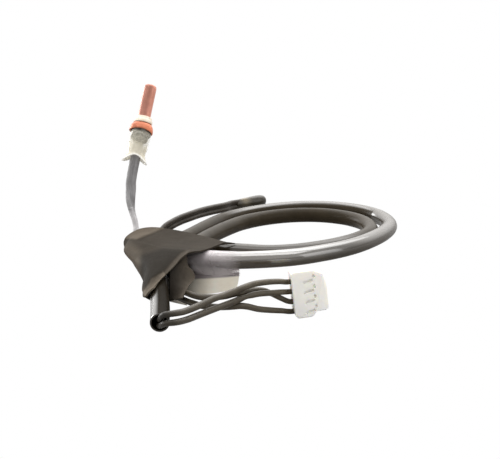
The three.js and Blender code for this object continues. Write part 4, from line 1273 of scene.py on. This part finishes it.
def make_housing():
    top, bottom, half = 6.5, -5.1, 2.5
    # (x, y) in the plug frame
    shell = prism("plug_housing", [
        (0, bottom + 0.9), (0.7, bottom), (4.0, bottom), (4.5, bottom + 0.25),
        (5.5, bottom + 1.3), (8.4, bottom + 1.25), (8.4, 1.6), (8.25, top - 4.0),
        (7.95, top - 2.4), (7.5, top - 1.3), (6.8, top - 0.9), (5.7, top - 0.25), (4.3, top),
        (0.5, top), (0, top - 0.5)], -half, half)
    bevel = shell.modifiers.new("bevel", "BEVEL")
    bevel.width, bevel.segments = 0.2, 3
    bevel.limit_method, bevel.angle_limit = "ANGLE", math.radians(28)
    bake(shell)

    cutters = [box((4.0, 16.0, 0.6), (7.1, 0, 2.62))]         # the nose sits a little lower
    for y in PINS:
        cutters += [
            box((10.4, 2.0, 1.9), (4.2, y, 0)),                                # through cavity
            box((1.6, 2.26, 2.1), (-0.25, y, 0), bevel=0.25),                  # wire entry
            box((2.5, 0.72, 1.3), (3.9, y + 0.1, 2.5), bevel=0.14, turn=9),    # lance window
            box((0.62, 0.9, 1.3), (5.35, y + 1.2, 2.4), bevel=0.14, turn=20),  # hole beside it
            box((3.0, 1.5, 0.5), (8.6, y, -2.6), bevel=0.06),                  # slot at the back
        ]
    for y in (PINS[0] + 0.6, PINS[3] - 0.2):
        cutters.append(box((3.0, 3.2, 0.9), (7.4, y, -2.5), bevel=0.06))
    for cutter in cutters:
        boolean = shell.modifiers.new("cut", "BOOLEAN")
        boolean.operation, boolean.object, boolean.solver = "DIFFERENCE", cutter, "EXACT"
    bake(shell)
    for cutter in cutters:
        bpy.data.objects.remove(cutter, do_unlink=True)

    for v in shell.data.vertices:
        # front edge of the nose is chamfered
        if v.co.x > 7.3 and v.co.z > 1.2:
            v.co.z -= (v.co.x - 7.3) * 0.45
        v.co = Vector(tuple(world(place(PLUG, *v.co))))
    shell.data.polygons.foreach_set("use_smooth", [False] * len(shell.data.polygons))
    finish(shell, "nylon", "connector", "nylon", "connector_housing")


# ---------------------------------------------------------------- carried-over CAD nodes
# (name prefix, look, whether its edges are softened)
CAD_LOOKS = (
    ("crimp_terminal", "tin", True), ("conductor_end", "strand", False),
    ("probe_conductor", "strand", False), ("probe_leg", "tin", False),
    ("bead_leg", "tin", False), ("probe_ferrule", "tin", True),
    ("probe_thermistor", "chip", True), ("bead_thermistor", "chip", True),
)


def dress_cad_nodes():
    for name, node in frame["nodes"].items():
        if node.hide_render:
            continue
        for prefix, look, softened in CAD_LOOKS:
            if not name.startswith(prefix):
                continue
            node.data.materials.clear()
            node.data.materials.append(LOOKS[look])
            if softened:
                edge = node.modifiers.new("edge", "BEVEL")
                edge.width, edge.segments = 0.00004, 2
                edge.limit_method, edge.angle_limit = "ANGLE", math.radians(40)


# ---------------------------------------------------------------- studio, in metres
def make_floor():
    """Pure white to the camera, mid grey to everything it lights."""
    edit = bmesh.new()
    bmesh.ops.create_grid(edit, x_segments=2, y_segments=2, size=0.5)
    bmesh.ops.scale(edit, vec=(6, 6, 1), verts=edit.verts)
    floor = edited_object("floor", edit)
    m = Material("floor_white")
    rays = m.node("ShaderNodeLightPath")
    white = m.node("ShaderNodeEmission")
    white.inputs["Color"].default_value = (1, 1, 1, 1)
    white.inputs["Strength"].default_value = 1.0
    mix = m.node("ShaderNodeMixShader")
    seen = m.math("MULTIPLY", rays.outputs["Is Camera Ray"], 1.0)
    grey = m.ramp(m.noise(scale=3.0, detail=2), (0.3, (0.28, 0.275, 0.27)),
                  (0.7, (0.30, 0.295, 0.29)))
    m.set(color=grey, rough=0.8)
    for k, value in enumerate((seen, m.shader.outputs[0], white.outputs[0])):
        m.feed(mix.inputs[k], value)
    m.feed(m.out.inputs[0], mix.outputs[0])
    floor.data.materials.append(m.material)


def make_world():
    """A bright backdrop behind the object, a dimmer room in front of it."""
    back_level, room_level = 1.5, 0.9
    studio = bpy.data.worlds.new("studio")
    bpy.context.scene.world = studio
    tree = Nodes(studio)
    coordinates = tree.node("ShaderNodeTexCoord")
    split = tree.node("ShaderNodeSeparateXYZ")
    tree.feed(split.inputs[0], coordinates.outputs["Generated"])
    back = tree.range(split.outputs["Y"], low=0.0, high=1.0, start=0.05, end=0.75,
                      interpolation_type="SMOOTHSTEP")
    high = tree.range(split.outputs["Z"], low=0.3, high=1.0, start=-0.1, end=0.4,
                      interpolation_type="SMOOTHSTEP")
    backdrop = tree.math("MULTIPLY", tree.math("MULTIPLY", back, high), back_level)
    level = tree.math("ADD", backdrop, tree.math("MULTIPLY", high, room_level))
    outputs = []
    for color, strength in (((1, 0.985, 0.97), level), ((1, 1, 1), 1.0)):
        background = tree.node("ShaderNodeBackground")
        tree.feed(background.inputs[0], color)
        tree.feed(background.inputs[1], strength)
        outputs.append(background.outputs[0])
    rays = tree.node("ShaderNodeLightPath")
    mix = tree.node("ShaderNodeMixShader")
    out = tree.node("ShaderNodeOutputWorld")
    for k, value in enumerate((rays.outputs["Is Camera Ray"], *outputs)):
        tree.feed(mix.inputs[k], value)
    tree.feed(out.inputs[0], mix.outputs[0])


def area(name, radiance, size, location, target=(0, 0, 0.01)):
    """A rectangular light whose power follows from its radiance and size."""
    light = bpy.data.lights.new(name, "AREA")
    light.energy = radiance * math.pi * size[0] * size[1]
    light.shape = "RECTANGLE"
    light.size, light.size_y = size
    lamp = link(name, light)
    lamp.location = location
    aim = Vector(target) - Vector(location)
    lamp.rotation_euler = aim.to_track_quat("-Z", "Y").to_euler()


def make_lights():
    area("top_front", radiance=2.6, size=(0.9, 0.34), location=(0.0, -0.08, 0.60),
         target=(0.0, -0.08, 0.0))
    area("top_back", radiance=2.4, size=(1.0, 0.46), location=(0.0, 0.37, 0.56),
         target=(0.0, 0.05, 0.0))
    area("back_left", radiance=7.0, size=(0.3, 0.3), location=(-0.52, 0.45, 0.08))
    area("left", radiance=3.2, size=(0.25, 0.3), location=(-0.55, -0.12, 0.12))
    area("right", radiance=1.2, size=(0.3, 0.45), location=(0.58, -0.22, 0.16))


def make_camera():
    lens = bpy.data.cameras.new("camera")
    lens.sensor_fit = "HORIZONTAL"
    lens.sensor_width = 36.0
    lens.lens = 75.6
    lens.clip_start = 0.005
    lens.clip_end = 20.0
    camera = link("camera", lens)
    camera.location = tuple(world(VIEW_POINT))
    camera.rotation_euler = (math.radians(90 - VIEW_PITCH), 0.0, 0.0)
    scene = bpy.context.scene
    scene.camera = camera
    scene.view_settings.view_transform = "Standard"
    scene.view_settings.look = "None"
    scene.view_settings.exposure = 0.0


# ---------------------------------------------------------------- build
make_sheath()
make_plug_wires()
make_sheath_cores()
make_splices()
make_pipe_lead()
make_capsule()
make_ring()
make_potting()
make_sleeve()
make_air_lead()
make_bead()
make_tape()
# the inner turn of tape that shows between the tube mouth and the label; its tone is painted
# shade, darkest beside the tube and paling towards the label
extra_layer("tape_inner_turn", TAPE_INNER_TURN, shape=(40, 36), thickness=0.3,
            tones=(0.36, 1.9), wrinkle=0.12)
# the end of the layer below the pointed flap, a little darker as painted shade under the flap
extra_layer("tape_lower_flap", TAPE_LOWER_FLAP, shape=(20, 30), thickness=0.26,
            tones=(0.8, 0.8), wrinkle=0.04)
make_label()
make_label_wrap()
extra_layer("label_tail", LABEL_TAIL, shape=(24, 20), thickness=0.18, tones=(1.0, 1.0),
            wrinkle=0.08, look="label_back", slot="label_film")
make_housing()
dress_cad_nodes()
make_floor()
make_world()
make_lights()
make_camera()

bpy.context.view_layer.update()
